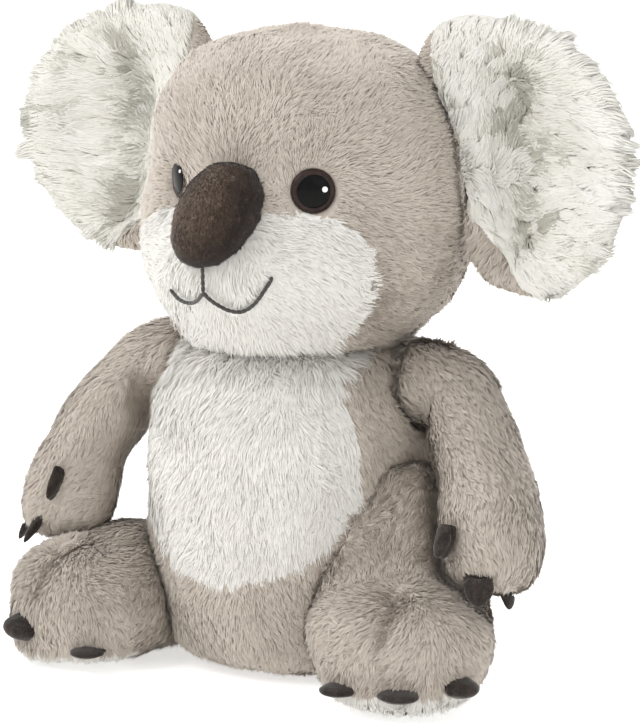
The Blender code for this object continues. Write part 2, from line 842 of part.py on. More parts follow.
def build_claw(name, base, direction, flat, half_sizes, outline, finish, hand):
    half_length, half_width, half_thickness = half_sizes
    start = base - direction * half_length * 2 * claw_sunk_share
    path, length = straight_path(start, start + direction * half_length * 2)
    rows = rows_of(CLAW_SHARES, half_width, half_thickness, half_thickness)
    side = direction.cross(flat).normalized()
    claw_form = {"path": path, "length": length, "side": side, "rows": rows}
    claw = form_mesh(name, claw_form, 0, claw_sides, finish, hand=hand)
    boolean(claw, outline)
    return claw


def build_arm(arm, hand, name, finishes):
    over = -cut_overrun
    cover = form_mesh("arm_cover_" + name, arm, 0, arm_sides, finishes["taupe"], start=0, hand=hand)
    lining = helper(form_mesh("arm_lining_" + name, arm, plush_thickness, limb_lining_sides,
                              start=over, hand=hand))
    inner = plush_thickness + seam_gap
    filling = form_mesh("arm_filling_" + name, arm, inner, limb_lining_sides, finishes["fill"],
                        start=0, hand=hand)
    boolean(lining, shoulder_trim(arm, "lining_trim_" + name, plush_thickness, hand))
    boolean(cover, shoulder_trim(arm, "cover_trim_" + name, 0, hand))
    boolean(filling, shoulder_trim(arm, "filling_trim_" + name, inner, hand))
    boolean(cover, lining)
    outline = helper(form_mesh("arm_outline_" + name, arm, -seam_gap, arm_sides, start=0,
                               hand=hand))
    made = [cover, filling]
    sizes = (claw_half_length, claw_half_width, claw_half_thickness)
    for k, (base, direction, outward) in enumerate(paw_claws(arm)):
        made.append(build_claw(f"paw_claw_{name}_{k + 1}", base, direction, outward, sizes,
                               outline, finishes["suede"], hand))
    return made


def build_leg(arm, hand, name, thigh_rise, body_outline, finishes):
    leg = leg_form(thigh_rise)
    inner = plush_thickness + seam_gap
    cover = form_mesh("leg_cover_" + name, leg, 0, leg_sides, finishes["taupe"], hand=hand, floor=0)
    sole = form_mesh("sole_" + name, leg, 0, leg_sides, finishes["white"], hand=hand, floor=0)
    lining = helper(form_mesh("leg_lining_" + name, leg, plush_thickness, limb_lining_sides,
                              hand=hand, floor=plush_thickness))
    filling = form_mesh("leg_filling_" + name, leg, inner, limb_lining_sides, finishes["fill"],
                        hand=hand, floor=inner)
    reach = leg_length + leg_root_out + cut_overrun
    low = slab("sole_room_" + name, -cut_overrun, sole_height, reach)
    high = slab("leg_room_" + name, sole_height - panel_gap, reach, reach)
    boolean(lining, arm_room(arm, "lining_room_" + name, plush_thickness, hand))
    boolean(cover, arm_room(arm, "cover_room_" + name, 0, hand))
    boolean(filling, arm_room(arm, "filling_room_" + name, inner, hand))
    for piece in (cover, sole):
        boolean(piece, lining)
    boolean(cover, low)
    boolean(sole, high)
    for piece in (cover, sole, filling):
        boolean(piece, body_outline)
    outline = helper(form_mesh("leg_outline_" + name, leg, -seam_gap, leg_sides, hand=hand))
    middle, _ = leg["path"](foot_middle_share * leg["length"])
    ahead = (1 - foot_middle_share) * leg_length
    sizes = (foot_claw_half_length, foot_claw_half_width, claw_half_thickness)
    for k in range(3):
        turn = foot_claw_spread * (k - 1)
        direction = leg["heading"] * math.cos(turn) + leg["side"] * math.sin(turn)
        reach = 1 / math.hypot(math.cos(turn) / ahead, math.sin(turn) / leg_half_width)
        base = middle + direction * reach
        base.z = foot_claw_height
        build_claw(f"foot_claw_{name}_{k + 1}", base, direction, Vector((0, 0, 1)), sizes, outline,
                   finishes["suede"], hand)


def pivot(name, place, children):
    empty = bpy.data.objects.new(name, None)
    bpy.context.scene.collection.objects.link(empty)
    empty.location = place
    empty.empty_display_size = shoulder_radius
    for child in children:
        child.parent = empty
        child.matrix_parent_inverse = Matrix.Translation(place).inverted()


def build():
    clear_scene()
    finishes = {
        "taupe": finish_material("taupe plush", TAUPE, 0.95),
        "white": finish_material("white plush", WHITE, 0.95),
        "ear": finish_material("white long pile", WHITE, 0.95),
        "fill": finish_material("polyester filling", FILL, 1.0),
        "pouch": finish_material("bean pouch cotton", FILL, 0.9),
        "nose": finish_material("dark velvet", DARK, 0.85),
        "suede": finish_material("dark suede", DARK, 0.8),
        "thread": finish_material("dark thread", DARK, 0.7),
        "eye": finish_material("black plastic", BLACK, 0.1),
        "washer": finish_material("white plastic", WHITE, 0.4),
    }
    body = body_form()
    head = head_form()
    body_outline = build_body(body, finishes)
    head_pieces, head_outline = build_head(head, finishes)
    pivot("neck_pivot", Vector((0, 0, head["foot"])), head_pieces)
    arm = arm_form()
    _, _, hinge, _ = ear_shape(head)
    for hand, name in ((1, "left"), (-1, "right")):
        pivot("ear_pivot_" + name, mirrored(hinge, hand),
              build_ear(head, head_outline, hand, name, finishes))
        pivot("shoulder_pivot_" + name, mirrored(arm["root"], hand),
              build_arm(arm, hand, name, finishes))
        thigh = left_thigh_rise if hand > 0 else right_thigh_rise
        build_leg(arm, hand, name, thigh, body_outline, finishes)


build()
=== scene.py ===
import math

import bmesh
import bpy
import numpy as np
from mathutils import Matrix, Vector
from mathutils.bvhtree import BVHTree
from mathutils.kdtree import KDTree


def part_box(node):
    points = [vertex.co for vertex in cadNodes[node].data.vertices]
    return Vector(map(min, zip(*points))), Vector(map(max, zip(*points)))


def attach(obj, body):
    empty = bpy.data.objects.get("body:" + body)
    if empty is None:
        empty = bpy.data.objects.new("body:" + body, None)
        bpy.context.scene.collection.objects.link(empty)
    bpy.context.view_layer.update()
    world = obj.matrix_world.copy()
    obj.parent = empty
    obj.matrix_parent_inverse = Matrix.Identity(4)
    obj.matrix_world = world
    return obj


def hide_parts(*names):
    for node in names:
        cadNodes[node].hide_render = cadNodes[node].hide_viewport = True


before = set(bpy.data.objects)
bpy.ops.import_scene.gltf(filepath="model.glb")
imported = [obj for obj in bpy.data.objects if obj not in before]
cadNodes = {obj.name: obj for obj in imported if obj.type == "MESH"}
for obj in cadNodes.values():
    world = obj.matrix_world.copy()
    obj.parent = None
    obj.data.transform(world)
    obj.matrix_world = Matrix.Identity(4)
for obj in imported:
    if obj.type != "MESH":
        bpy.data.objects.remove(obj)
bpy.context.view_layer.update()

mm = 0.001
up = np.array([0.0, 0.0, 1.0])
bothSides = ((1, "left"), (-1, "right"))  # towards +X or not, and the koala's left or right
print("frame loaded:", len(cadNodes), "CAD nodes")


# Materials

def linear(hexColour):  # an sRGB hex value as the linear numbers that a socket takes
    parts = [int(hexColour[k:k + 2], 16) / 255 for k in (1, 3, 5)]
    return [p / 12.92 if p <= 0.04045 else ((p + 0.055) / 1.055) ** 2.4 for p in parts] + [1.0]


def addNode(tree, kind, links=None, stops=None, **settings):  # links may hold plain values too
    node = tree.nodes.new("ShaderNode" + kind)
    for key, value in settings.items():
        setattr(node, key, value)
    for key, value in (links or {}).items():
        if isinstance(value, bpy.types.NodeSocket):
            tree.links.new(value, node.inputs[key])
        else:
            node.inputs[key].default_value = value
    for k, (place, colour) in enumerate(stops or ()):
        ramp = node.color_ramp.elements
        element = ramp[k] if k < 2 else ramp.new(place)
        element.position = place
        element.color = linear(colour)
    return node


def newMaterial(name, **surface):
    material = bpy.data.materials.new(name)
    material.use_nodes = True
    shader = material.node_tree.nodes["Principled BSDF"]
    for key, value in surface.items():
        shader.inputs[key.replace("_", " ")].default_value = value
    return material, material.node_tree, shader


def pileMaterial(name, shades, roots):
    # Polyester faux fur, knitted and brushed. A fibre is dull, and darker at the root, where the
    # pile shades itself. Its map runs across in shade and up from root to tip.
    material, tree, shader = newMaterial(name, Roughness=0.72, Sheen_Weight=0.2,
                                         Sheen_Roughness=0.5, Specular_IOR_Level=0.3)
    fibreMap = addNode(tree, "UVMap", uv_map="OFBake")
    way = addNode(tree, "SeparateXYZ", {0: fibreMap.outputs["UV"]})
    shade = addNode(tree, "ValToRGB", {0: way.outputs["X"]}, shades)
    root = addNode(tree, "ValToRGB", {0: way.outputs["Y"]}, roots)
    colour = addNode(tree, "VectorMath",
                     {0: shade.outputs["Color"], 1: root.outputs["Color"]}, operation="MULTIPLY")
    tree.links.new(colour.outputs["Vector"], shader.inputs["Base Color"])
    return material


def addNoise(tree, size, detail=2.0):
    place = addNode(tree, "TexCoord")
    return addNode(tree, "TexNoise",
                   {0: place.outputs["Object"], "Scale": 1 / size, "Detail": detail}).outputs["Fac"]


def mottled(name, dark, pale, size, detail=2.0, low=0.35, **surface):
    # Two near tones, in patches of about this size
    material, tree, shader = newMaterial(name, **surface)
    colour = addNode(tree, "ValToRGB", {0: addNoise(tree, size, detail)},
                     [(low, dark), (1 - low, pale)])
    tree.links.new(colour.outputs["Color"], shader.inputs["Base Color"])
    return material


def backingMaterial(name, dark, pale):
    # The knitted polyester cloth that carries the pile, seen only between the fibres
    return mottled(name, dark, pale, 2.5 * mm, 3.0, 0.3, Roughness=0.95, Specular_IOR_Level=0.1)


def napMaterial(name, dark, pale, grain, roughness):
    # Short napped cloth, velvet or suede: fine brushed grain, matt, with a soft sheen at its edges
    material, tree, shader = newMaterial(name, Roughness=roughness, Sheen_Weight=0.35,
                                         Sheen_Roughness=0.4, Specular_IOR_Level=0.2)
    brushed, nap = addNoise(tree, 6 * grain, 4.0), addNoise(tree, grain)
    both = addNode(tree, "Math", {0: brushed, 1: nap}, operation="MULTIPLY")
    colour = addNode(tree, "ValToRGB", {0: both.outputs["Value"]},
                     [(0.15, dark), (0.36, pale)])
    tree.links.new(colour.outputs["Color"], shader.inputs["Base Color"])
    bump = addNode(tree, "Bump", {"Height": nap, "Strength": 0.5,
                                            "Distance": 0.3 * mm})
    tree.links.new(bump.outputs["Normal"], shader.inputs["Normal"])
    return material


def plasticMaterial(name, dark, pale, roughness, shine):
    # Injection-moulded ABS, polished in the mould: near-flat colour and a clear highlight
    return mottled(name, dark, pale, 3 * mm, Roughness=roughness, Specular_IOR_Level=shine)


def threadMaterial(name, dark, pale):
    # Twisted polyester embroidery thread: plies 0.4 mm apart catch the light in turn
    return mottled(name, dark, pale, 0.8 * mm, Roughness=0.6, Sheen_Weight=0.3)


finishes = {
    "taupePile": pileMaterial(
        "taupe_faux_fur",
        # tones under 0.28, and the stop at 0, are reached mostly through painted shade
        [(0.0, "#8f8478"), (1.0, "#d8cfc5"), (0.28, "#bbb1a6"), (0.5, "#cac1b6")],
        [(0.0, "#d8d3ce"), (1.0, "#ffffff"), (0.55, "#f4f2f0")]),
    "whitePile": pileMaterial(
        "white_faux_fur", [(0.0, "#d9d7d1"), (1.0, "#e9e8e4"), (0.5, "#e1dfdb")],
        [(0.0, "#f0eeea"), (1.0, "#ffffff"), (0.5, "#fbfaf8")]),
    "longPile": pileMaterial(
        # the stop at 0 is reached mostly through the painted shade in the ear's valley
        "white_long_pile", [(0.0, "#a19f93"), (1.0, "#e6e5e0"), (0.3, "#d9d7d0")],
        [(0.0, "#ece9e3"), (1.0, "#ffffff"), (0.45, "#faf9f7")]),
    "velvetPile": pileMaterial(
        # the wide range from dark to pale carries the nose's painted light and shade
        "nose_velvet", [(0.0, "#211914"), (1.0, "#a08d7e"), (0.5, "#5e4e42")],
        [(0.0, "#6a625c"), (1.0, "#ffffff"), (0.6, "#d6d1cc")]),
    "taupeBacking": backingMaterial("taupe_knit_backing", "#b5aba0", "#c3bab0"),
    "whiteBacking": backingMaterial("white_knit_backing", "#e6e4de", "#eeece8"),
    "velvet": napMaterial("brown_velvet", "#2b201b", "#4b3b32", 0.5 * mm, 0.85),
    "suede": napMaterial("dark_suede", "#1f1a17", "#3a322d", 0.6 * mm, 0.8),
    "blackEye": plasticMaterial("black_polished_abs", "#060606", "#0c0b0b", 0.08, 0.12),
    "brownEye": plasticMaterial("brown_moulded_abs", "#241a17", "#352622", 0.42, 0.2),
    "paint": plasticMaterial("white_eye_paint", "#ecebe8", "#f6f5f3", 0.3, 0.3),
    "washer": plasticMaterial("washer_moulded_abs", "#d0cec8", "#dddbd6", 0.5, 0.5),
    "thread": threadMaterial("mouth_polyester_thread", "#1f1d1a", "#3b3732"),
}
print("materials made:", len(finishes))


def addObject(name, data):
    obj = bpy.data.objects.new(name, data)
    bpy.context.scene.collection.objects.link(obj)
    return obj


def meshOf(bm, name):
    for face in bm.faces:
        face.smooth = True
    mesh = bpy.data.meshes.new(name)
    bm.to_mesh(mesh)
    bm.free()
    return mesh


# Forms: the stuffed shapes, from the CAD solids, drawn in by the depth of their pile

weld = 0.002 * mm  # CAD points nearer than this become one
waves = 5  # sine waves that add up to one drift
lumpSize = 32 * mm  # from one soft lump of the filling to the next
floorGap = {"form": 0.4 * mm, "pile": 0.25 * mm}  # how far each stays above the floor


def fetch(items, what, width, kind=np.float64):  # mesh data as an array, one row per item
    values = np.empty(len(items) * width, kind)
    items.foreach_get(what, values)
    return values.reshape(-1, width)


def readMesh(mesh):  # points, triangles and normals
    mesh.calc_loop_triangles()
    return (fetch(mesh.vertices, "co", 3), fetch(mesh.loop_triangles, "vertices", 3, np.int32),
            fetch(mesh.vertex_normals, "vector", 3))


def writePoints(mesh, points):
    mesh.vertices.foreach_set("co", points.astype(np.float32).ravel())
    mesh.update()


def softened(points, edges, rounds):  # halfway to the neighbours' mean, each round
    count = np.bincount(edges.ravel(), minlength=len(points))[:, None]
    for _ in range(rounds):
        total = np.stack([np.bincount(edges[:, 0], points[edges[:, 1], k], len(points))
                          + np.bincount(edges[:, 1], points[edges[:, 0], k], len(points))
                          for k in range(3)], 1)
        points = points + 0.5 * (total / np.maximum(count, 1) - points)
    return points


def unit(vectors):
    return vectors / np.maximum(np.linalg.norm(vectors, axis=-1, keepdims=True), 1e-9)


def drift(points, size, seed):  # smooth random vectors that change over about size
    dice = np.random.default_rng(seed)
    found = np.zeros((len(points), 3))
    for k in range(3):
        for _ in range(waves):
            wave = unit(dice.normal(size=3)) * math.tau / (size * dice.uniform(0.7, 1.6))
            found[:, k] += np.sin(points @ wave + dice.uniform(0, math.tau))
    return found / math.sqrt(waves / 2)


def nodeTree(name):
    bm = bmesh.new()
    bm.from_mesh(cadNodes[name].data)
    bmesh.ops.triangulate(bm, faces=bm.faces)
    tree = BVHTree.FromBMesh(bm)
    bm.free()
    return tree


def farFrom(points, names):  # each point's distance to the nearest of these CAD nodes or forms
    trees = [name if isinstance(name, BVHTree) else nodeTree(name) for name in names]
    return np.array([min(tree.find_nearest(p)[3] for tree in trees) for p in points])


def gapTo(points, line):  # each point's distance to a line through these points
    best = np.full(len(points), np.inf)
    for a, b in zip(line, line[1:]):
        a, along = np.array(a), np.array(b) - np.array(a)
        share = ((points - a) @ along / (along @ along)).clip(0, 1)
        best = np.minimum(best, np.linalg.norm(points - a - share[:, None] * along, axis=1))
    return best


def insideOutline(across, height, outline):  # how far inside an outline that mirrors at x = 0
    across = abs(across)
    inside = np.zeros(len(across), bool)
    for (x1, z1), (x2, z2) in zip(outline, outline[1:]):
        edge = x1 + (x2 - x1) * (height - z1) / ((z2 - z1) or 1)
        inside ^= ((height < z1) != (height < z2)) & (across < edge)
    return np.where(inside, 1, -1) * gapTo(np.stack([across, height], 1), outline)


def smooth(values, start, end):  # 0 before start and 1 past end, with an eased step between
    share = ((values - start) / (end - start)).clip(0, 1)
    return share * share * (3 - 2 * share)


def bell(distance, reach):  # 1 at no distance, and nearly 0 at twice the reach
    return np.exp(-(distance / reach) ** 2)


def largestPart(bm):  # drops the small closed shells that a remesh leaves inside
    left = set(bm.verts)
    best = []
    while left:
        found = [left.pop()]
        for vert in found:
            for edge in vert.link_edges:
                other = edge.other_vert(vert)
                if other in left:
                    left.discard(other)
                    found.append(other)
        if len(found) > len(best):
            best = found
    keep = set(best)
    bmesh.ops.delete(bm, geom=[v for v in bm.verts if v not in keep], context="VERTS")


def stuffedForm(name, body, parts, voxel, depth, sink=(), rounds=6, lumps=0.0, shape=None):
    # parts are CAD nodes, and sink shifts copies of them inwards, into what carries the form
    bm = bmesh.new()
    for part in parts:
        for shift in ((0, 0, 0), *sink):
            start = len(bm.verts)
            bm.from_mesh(cadNodes[part].data)
            bm.verts.ensure_lookup_table()
            bmesh.ops.translate(bm, verts=bm.verts[start:], vec=shift)
    bmesh.ops.remove_doubles(bm, verts=bm.verts, dist=weld)
    obj = addObject(name, meshOf(bm, name))
    remesh = obj.modifiers.new("remesh", "REMESH")
    remesh.mode = "VOXEL"
    remesh.voxel_size = voxel
    graph = bpy.context.evaluated_depsgraph_get()
    mesh = bpy.data.meshes.new_from_object(obj.evaluated_get(graph))
    obj.modifiers.clear()
    bm = bmesh.new()
    bm.from_mesh(mesh)
    largestPart(bm)
    bm.to_mesh(mesh)
    bm.free()
    obj.data = mesh
    edges = fetch(mesh.edges, "vertices", 2, np.int32)
    points, _, _ = readMesh(mesh)
    points = softened(points, edges, rounds)
    writePoints(mesh, points if shape is None else shape(points))
    outer, _, _ = readMesh(mesh)
    wanted = depth(outer) if callable(depth) else np.full(len(outer), depth)
    if lumps:
        wanted = wanted + lumps * drift(outer, lumpSize, seed=5)[:, 0]
    steps = 3
    for _ in range(steps):
        points, _, normals = readMesh(mesh)
        points = softened(points - normals * (wanted / steps)[:, None], edges, 2)
        points[:, 2] = np.maximum(points[:, 2], floorGap["form"])
        writePoints(mesh, points)
    mesh.polygons.foreach_set("use_smooth", [True] * len(mesh.polygons))
    points, triangles, normals = readMesh(mesh)
    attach(obj, body)
    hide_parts(*parts)
    print(name, "form:", len(triangles), "triangles")
    return {"object": obj, "points": points, "outer": outer, "triangles": triangles,
            "normals": normals, "body": body}


# Pile: real fibres, each a pointed ribbon, rooted on a form, combed and gathered in tufts

fibre = {"rootSink": 0.3 * mm, "shortest": 0.3 * mm, "byTuft": 0.12, "lengths": (0.75, 1.15),
         "widths": (0.7, 1.2), "curveSteps": 12, "gatherReach": 2.5, "mottleSize": 30 * mm,
         # degrees by tuft, by fibre, and more for a stray one
         "rise": (3, 4, 16), "lean": (2, 3, 10),
         # tone by tuft, by fibre and by place, its range, and its change across a fibre
         "mottle": (0.12, 0.06, 0.10), "tones": (0.04, 0.96), "across": 0.03,
         "sag": 0.12}  # how far long hair turns down past a rim, per step
mostFaces = 190_000  # in one pile piece; a longer one is split


def rootsOn(form, density, seed):
    a, b, c = (form["points"][form["triangles"][:, k]] for k in range(3))
    area = np.linalg.norm(np.cross(b - a, c - a), axis=1) / 2
    dice = np.random.default_rng(seed)
    count = int(area.sum() / mm ** 2 * density)
    steps = (np.arange(count) + dice.uniform(size=count)) / count
    pick = np.searchsorted(np.cumsum(area) / area.sum(), steps).clip(0, len(area) - 1)
    u, v = dice.uniform(size=(2, count))
    flip = u + v > 1
    u[flip], v[flip] = 1 - u[flip], 1 - v[flip]
    share = np.stack([1 - u - v, u, v], 1)
    corner = form["triangles"][pick]

    def spread(values):  # a value at the form's points, read at each root
        values = values[corner]
        return (values * (share[:, :, None] if values.ndim == 3 else share)).sum(1)
    return spread, dice


def laidPile(form, roots, outward, flow, comb, stray, length, style):
    # Long hair follows the form under it, and runs straight on past a rim
    tree = BVHTree.FromPolygons(form["points"].tolist(), form["triangles"].tolist())
    levels = style["levels"]
    base, facing, aim = roots.copy(), outward.copy(), flow.copy()
    line = [roots - outward * fibre["rootSink"]]
    normals = [unit(outward + np.array(style["front"]))]
    for k in range(levels):
        ahead = base + aim * (length / levels)[:, None]
        found = [tree.find_nearest(point) for point in ahead]
        near = np.array([f[0] for f in found])
        normal = np.array([f[1] for f in found])
        on = (normal * outward).sum(1) > style["wrap"]
        base = np.where(on[:, None], near, ahead)
        facing = np.where(on[:, None], unit(facing * 0.4 + normal), facing)
        turn = unit(comb(base)) + stray
        turn = unit(turn - facing * (turn * facing).sum(1, keepdims=True))
        aim = np.where(on[:, None], turn, unit(aim - up * fibre["sag"]))
        height = style["loft"] * math.sin(math.pi / 2 * min(1, 1.6 * (k + 1) / levels))
        height = height * np.random.default_rng(500 + k).uniform(0.35, 1.0, (len(base), 1))
        line.append(base + facing * height)
        normals.append(unit(facing + np.array(style["front"])))
    return np.stack(line, 1), np.stack(normals, 1)


def growPile(name, form, style, comb, wanted, seed, trim=None, shade=None):
    # It grows where wanted is above zero. trim scales the length, and shade darkens the fibres as
    # painted shade, or lightens them as painted light where it is below zero
    spread, dice = rootsOn(form, style["density"], seed)
    roots, outward, keep = spread(form["points"]), unit(spread(form["normals"])), spread(wanted)
    keep = keep + dice.normal(0, style["seamMix"], len(keep)) > 0
    length = np.full(len(roots), style["length"])
    if trim is not None:
        length = length * spread(trim)
    keep &= length > fibre["shortest"]
    roots, outward, length = roots[keep], outward[keep], length[keep]
    paintedLightAndShade = 0.0 if shade is None else spread(shade)[keep]
    count = len(roots)
    flow = unit(comb(roots))
    flow = flow + style["swirl"] * drift(roots, style["swirlSize"], seed + 1)
    clumpCount = max(1, count // style["perTuft"])
    centres = dice.choice(count, clumpCount, replace=False)
    finder = KDTree(clumpCount)
    for k, c in enumerate(centres):
        finder.insert(roots[c], k)
    finder.balance()
    tuft = np.array([finder.find(p)[1] for p in roots])
    tuftDice = dice.normal(size=(clumpCount, 5))
    flow = flow + style["tuftStray"] * tuftDice[tuft, :3]
    flow = flow + style["stray"] * dice.normal(size=(count, 3))
    flow = unit(flow - outward * (flow * outward).sum(1, keepdims=True))
    length = length * (1 + fibre["byTuft"] * tuftDice[tuft, 3])
    length = np.maximum(length * dice.uniform(*fibre["lengths"], count), fibre["shortest"])
    fly = dice.uniform(size=count) < style["fly"]  # stray fibres that stand out of the combed pile
    rise, lean = (np.radians(style[which] + fibre[which][0] * tuftDice[tuft, 4]
                             + fibre[which][1] * dice.normal(size=count) + fibre[which][2] * fly)
                  for which in ("rise", "lean"))
    levels = style["levels"]
    if "loft" in style:
        stray = style["tuftStray"] * tuftDice[tuft, :3]
        stray = stray + style["stray"] * dice.normal(size=(count, 3))
        line, outward = laidPile(form, roots, outward, flow, comb, stray, length, style)
    else:
        fine = fibre["curveSteps"]
        spot = np.zeros((count, 3))
        line = [roots - outward * fibre["rootSink"]]
        for k in range(fine):
            angle = rise + (lean - rise) * (k + 0.5) / fine
            spot = spot + (outward * np.sin(angle)[:, None] + flow * np.cos(angle)[:, None]) / fine
            if (k + 1) * levels % fine < levels:
                line.append(roots + spot * length[:, None])
        line = np.stack(line, 1)  # count, levels + 1, 3
        outward = np.tile(outward[:, None], (1, levels + 1, 1))
    middle = line[centres][tuft]
    gather = (style["gather"] * np.linspace(0, 1, levels + 1) ** 1.5)[None, :, None]
    near = np.linalg.norm(middle[:, 0] - line[:, 0], axis=1)
    pull = bell(near, fibre["gatherReach"] * style["length"])[:, None, None]
    line = line + (middle - line) * gather * pull
    line[:, :, 2] = np.maximum(line[:, :, 2], floorGap["pile"])
    mesh = ribbons(style, line, outward, tuftDice[tuft, 0], paintedLightAndShade, dice)
    laidOut(name, form["body"], style, *mesh)
    print(name, "pile:", count, "fibres")


def ribbons(style, line, outward, tuftTone, paintedLightAndShade, dice):
    # Each fibre's points, normals and map, and the triangles of one
    count, rows, _ = line.shape
    along = unit(np.gradient(line, axis=1))
    side = unit(np.cross(along, outward) + style["roll"] * dice.normal(size=(count, 1, 3)))
    side = unit(side - along * (side * along).sum(2, keepdims=True))
    turned = (np.cross(side, along) * outward).sum(2).mean(1) < 0
    side[turned] *= -1
    half = style["width"] / 2 * np.array(style["taper"])[None, :, None]
    half = half * dice.uniform(*fibre["widths"], (count, 1, 1))
    left, right = line - side * half, line + side * half
    both = np.stack([left, right], 2).reshape(count, rows * 2, 3)[:, :-1]
    both[:, -1] = line[:, -1]
    normal = np.repeat(outward[:, :, None], 2, 2).reshape(count, rows * 2, 3)[:, :-1]
    byTuft, byFibre, byPlace = fibre["mottle"]
    mottle = byTuft * tuftTone + byFibre * dice.normal(size=count)
    mottle = mottle + byPlace * drift(line[:, 0], fibre["mottleSize"], seed=77)[:, 0]
    tone = (0.5 + style["mottle"] * mottle - paintedLightAndShade).clip(*fibre["tones"])
    across = np.stack([tone - fibre["across"], tone + fibre["across"]], 1)
    heights = np.linspace(0.01, 0.99, rows)
    mapU = np.tile(across[:, None, :], (1, rows, 1)).reshape(count, rows * 2)[:, :-1]
    mapU[:, -1] = tone
    mapV = np.tile(np.repeat(heights, 2)[None, :-1], (count, 1))
    tip = 2 * rows - 2
    faces = [face for a in range(0, tip - 2, 2)
             for face in ((a, a + 1, a + 3), (a, a + 3, a + 2))] + [(tip - 2, tip - 1, tip)]
    return both, normal, mapU, mapV, np.array(faces, np.int32)


def laidOut(name, body, style, both, normal, mapU, mapV, faces):
    # The fibres as one mesh, or as several where they are too many for one
    perFibre = both.shape[1]
    pieces = math.ceil(len(both) / (mostFaces // len(faces)))
    for part in range(pieces):
        use = slice(part, None, pieces)
        some = both[use]
        n = len(some)
        index = (faces[None] + np.arange(n)[:, None, None] * perFibre).reshape(-1)
        mesh = bpy.data.meshes.new(name)
        mesh.vertices.add(n * perFibre)
        mesh.vertices.foreach_set("co", some.astype(np.float32).ravel())
        mesh.loops.add(len(index))
        mesh.loops.foreach_set("vertex_index", index.astype(np.int32))
        mesh.polygons.add(len(index) // 3)
        mesh.polygons.foreach_set("loop_start", np.arange(0, len(index), 3, dtype=np.int32))
        mesh.polygons.foreach_set("use_smooth", np.ones(len(index) // 3, bool))
        layer = mesh.uv_layers.new(name="OFBake")
        places = np.stack([mapU[use].reshape(-1)[index], mapV[use].reshape(-1)[index]], 1)
        layer.uv.foreach_set("vector", places.astype(np.float32).ravel())
        mesh.update(calc_edges=True)
        mesh.validate()
        mesh.normals_split_custom_set_from_vertices(normal[use].reshape(-1, 3).astype(np.float32))
        mesh.materials.append(finishes[style["finish"]])
        obj = addObject(name if pieces == 1 else f"{name}_{part + 1}", mesh)
        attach(obj, body)


# Each pile's looks: sizes in metres, density per square mm, angles in degrees
shortPile = {"length": 4.8 * mm, "width": 0.55 * mm, "density": 2.9, "perTuft": 12, "rise": 18,
             "lean": 4, "fly": 0.1, "roll": 0.1, "gather": 0.24, "swirl": 0.26,
             "swirlSize": 34 * mm, "tuftStray": 0.18, "stray": 0.1, "levels": 2,
             "taper": (1.0, 0.9, 0.0), "mottle": 0.55, "finish": "taupePile",
             "slot": "taupe_plush", "seamMix": 0.0}  # how far two colours mix over a seam
whitePile = dict(shortPile, finish="whitePile", slot="white_plush", length=6.4 * mm,
                 width=0.62 * mm, density=3.7, perTuft=18, rise=9, lean=1, fly=0.02, roll=0.03,
                 gather=0.14, stray=0.07)
solePile = dict(whitePile, length=4.5 * mm)
earBackPile = dict(shortPile, length=6.5 * mm)
earPile = dict(shortPile, finish="longPile", slot="long_pile", length=15 * mm, width=0.8 * mm,
               density=3.8, perTuft=80, rise=0, lean=0, fly=0.0, gather=0.5, swirlSize=18 * mm,
               tuftStray=0.16, stray=0.07, levels=4, taper=(1.0, 1.0, 0.9, 0.7, 0.0),
               loft=2.0 * mm, wrap=0.35, roll=0.05, front=(0.0, -1.3, 0.25), mottle=1.0)
nosePile = dict(shortPile, finish="velvetPile", slot="velvet", length=1.9 * mm,
                width=0.28 * mm, density=5.5, perTuft=9, rise=20, lean=6, gather=0.3, swirl=0.3,
                swirlSize=14 * mm, tuftStray=0.25, stray=0.25, taper=(1.0, 0.8, 0.0), roll=0.18)

noseLow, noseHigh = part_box("nose_cover")
noseSpot = np.array((noseLow + noseHigh) / 2)
neckHeight = 0.1353
pileDraw = 1.8 * mm  # how far body and head are drawn in by the depth of their pile


def downBody(points):  # the pile falls down and outwards
    return points * (1.2, 0.4, 0.0) - 0.09 * up


def atNeck(points, start, end):  # 0 to 1 between two heights over the neck's seam
    return smooth(points[:, 2], neckHeight + start, neckHeight + end)


# Body

bodyShape = {
    # how far the white pile stops inside the panel's seam: heights, then insets
    "bellyInset": np.array([(30, 42, 63, 85, 105, 115, 122, 135),
                            (4.5, 5.5, 3, -1.5, 0.5, 6, 12, 14)]) * mm,
    "insetSide": (-25 * mm, 15 * mm), "insetLow": (30 * mm, 60 * mm),
    "neckEase": (-11 * mm, -3 * mm),  # from the neck, where the cover stops being drawn in
    "collar": 0.35, "collarFrom": (-16 * mm, -4 * mm),  # longer pile below the neck
    "voxel": 2.5 * mm, "lumps": 0.5 * mm, "legGap": 0.2 * mm}


def bodyDepth(points):  # the cover is drawn in by its pile, but not where the head sits on it
    return pileDraw - pileDraw * atNeck(points, *bodyShape["neckEase"])


bodyForm = stuffedForm("body_form", "torso",
                       ["body_cover", "belly_panel", "body_filling", "bean_pouch"],
                       bodyShape["voxel"], bodyDepth, lumps=bodyShape["lumps"])
outer = bodyForm["outer"]
white = farFrom(outer, ["body_cover"]) - farFrom(outer, ["belly_panel"])
side = smooth(outer[:, 0], *bodyShape["insetSide"])
low = 1 - smooth(outer[:, 2], *bodyShape["insetLow"])
white -= np.interp(outer[:, 2], *bodyShape["bellyInset"]) * np.maximum(side, low)
legsNear = farFrom(outer, ["leg_cover_left", "leg_cover_right"]) - bodyShape["legGap"]
bodyTrim = 1 + bodyShape["collar"] * atNeck(outer, *bodyShape["collarFrom"])
growPile("body_pile", bodyForm, shortPile, downBody, np.minimum(-white, legsNear), seed=11,
         trim=bodyTrim)
growPile("belly_pile", bodyForm, whitePile, downBody, white, seed=12, trim=bodyTrim)


def finishForm(form, slotName, softness, *names):
    for name in names:
        form["object"].data.materials.append(finishes[name])


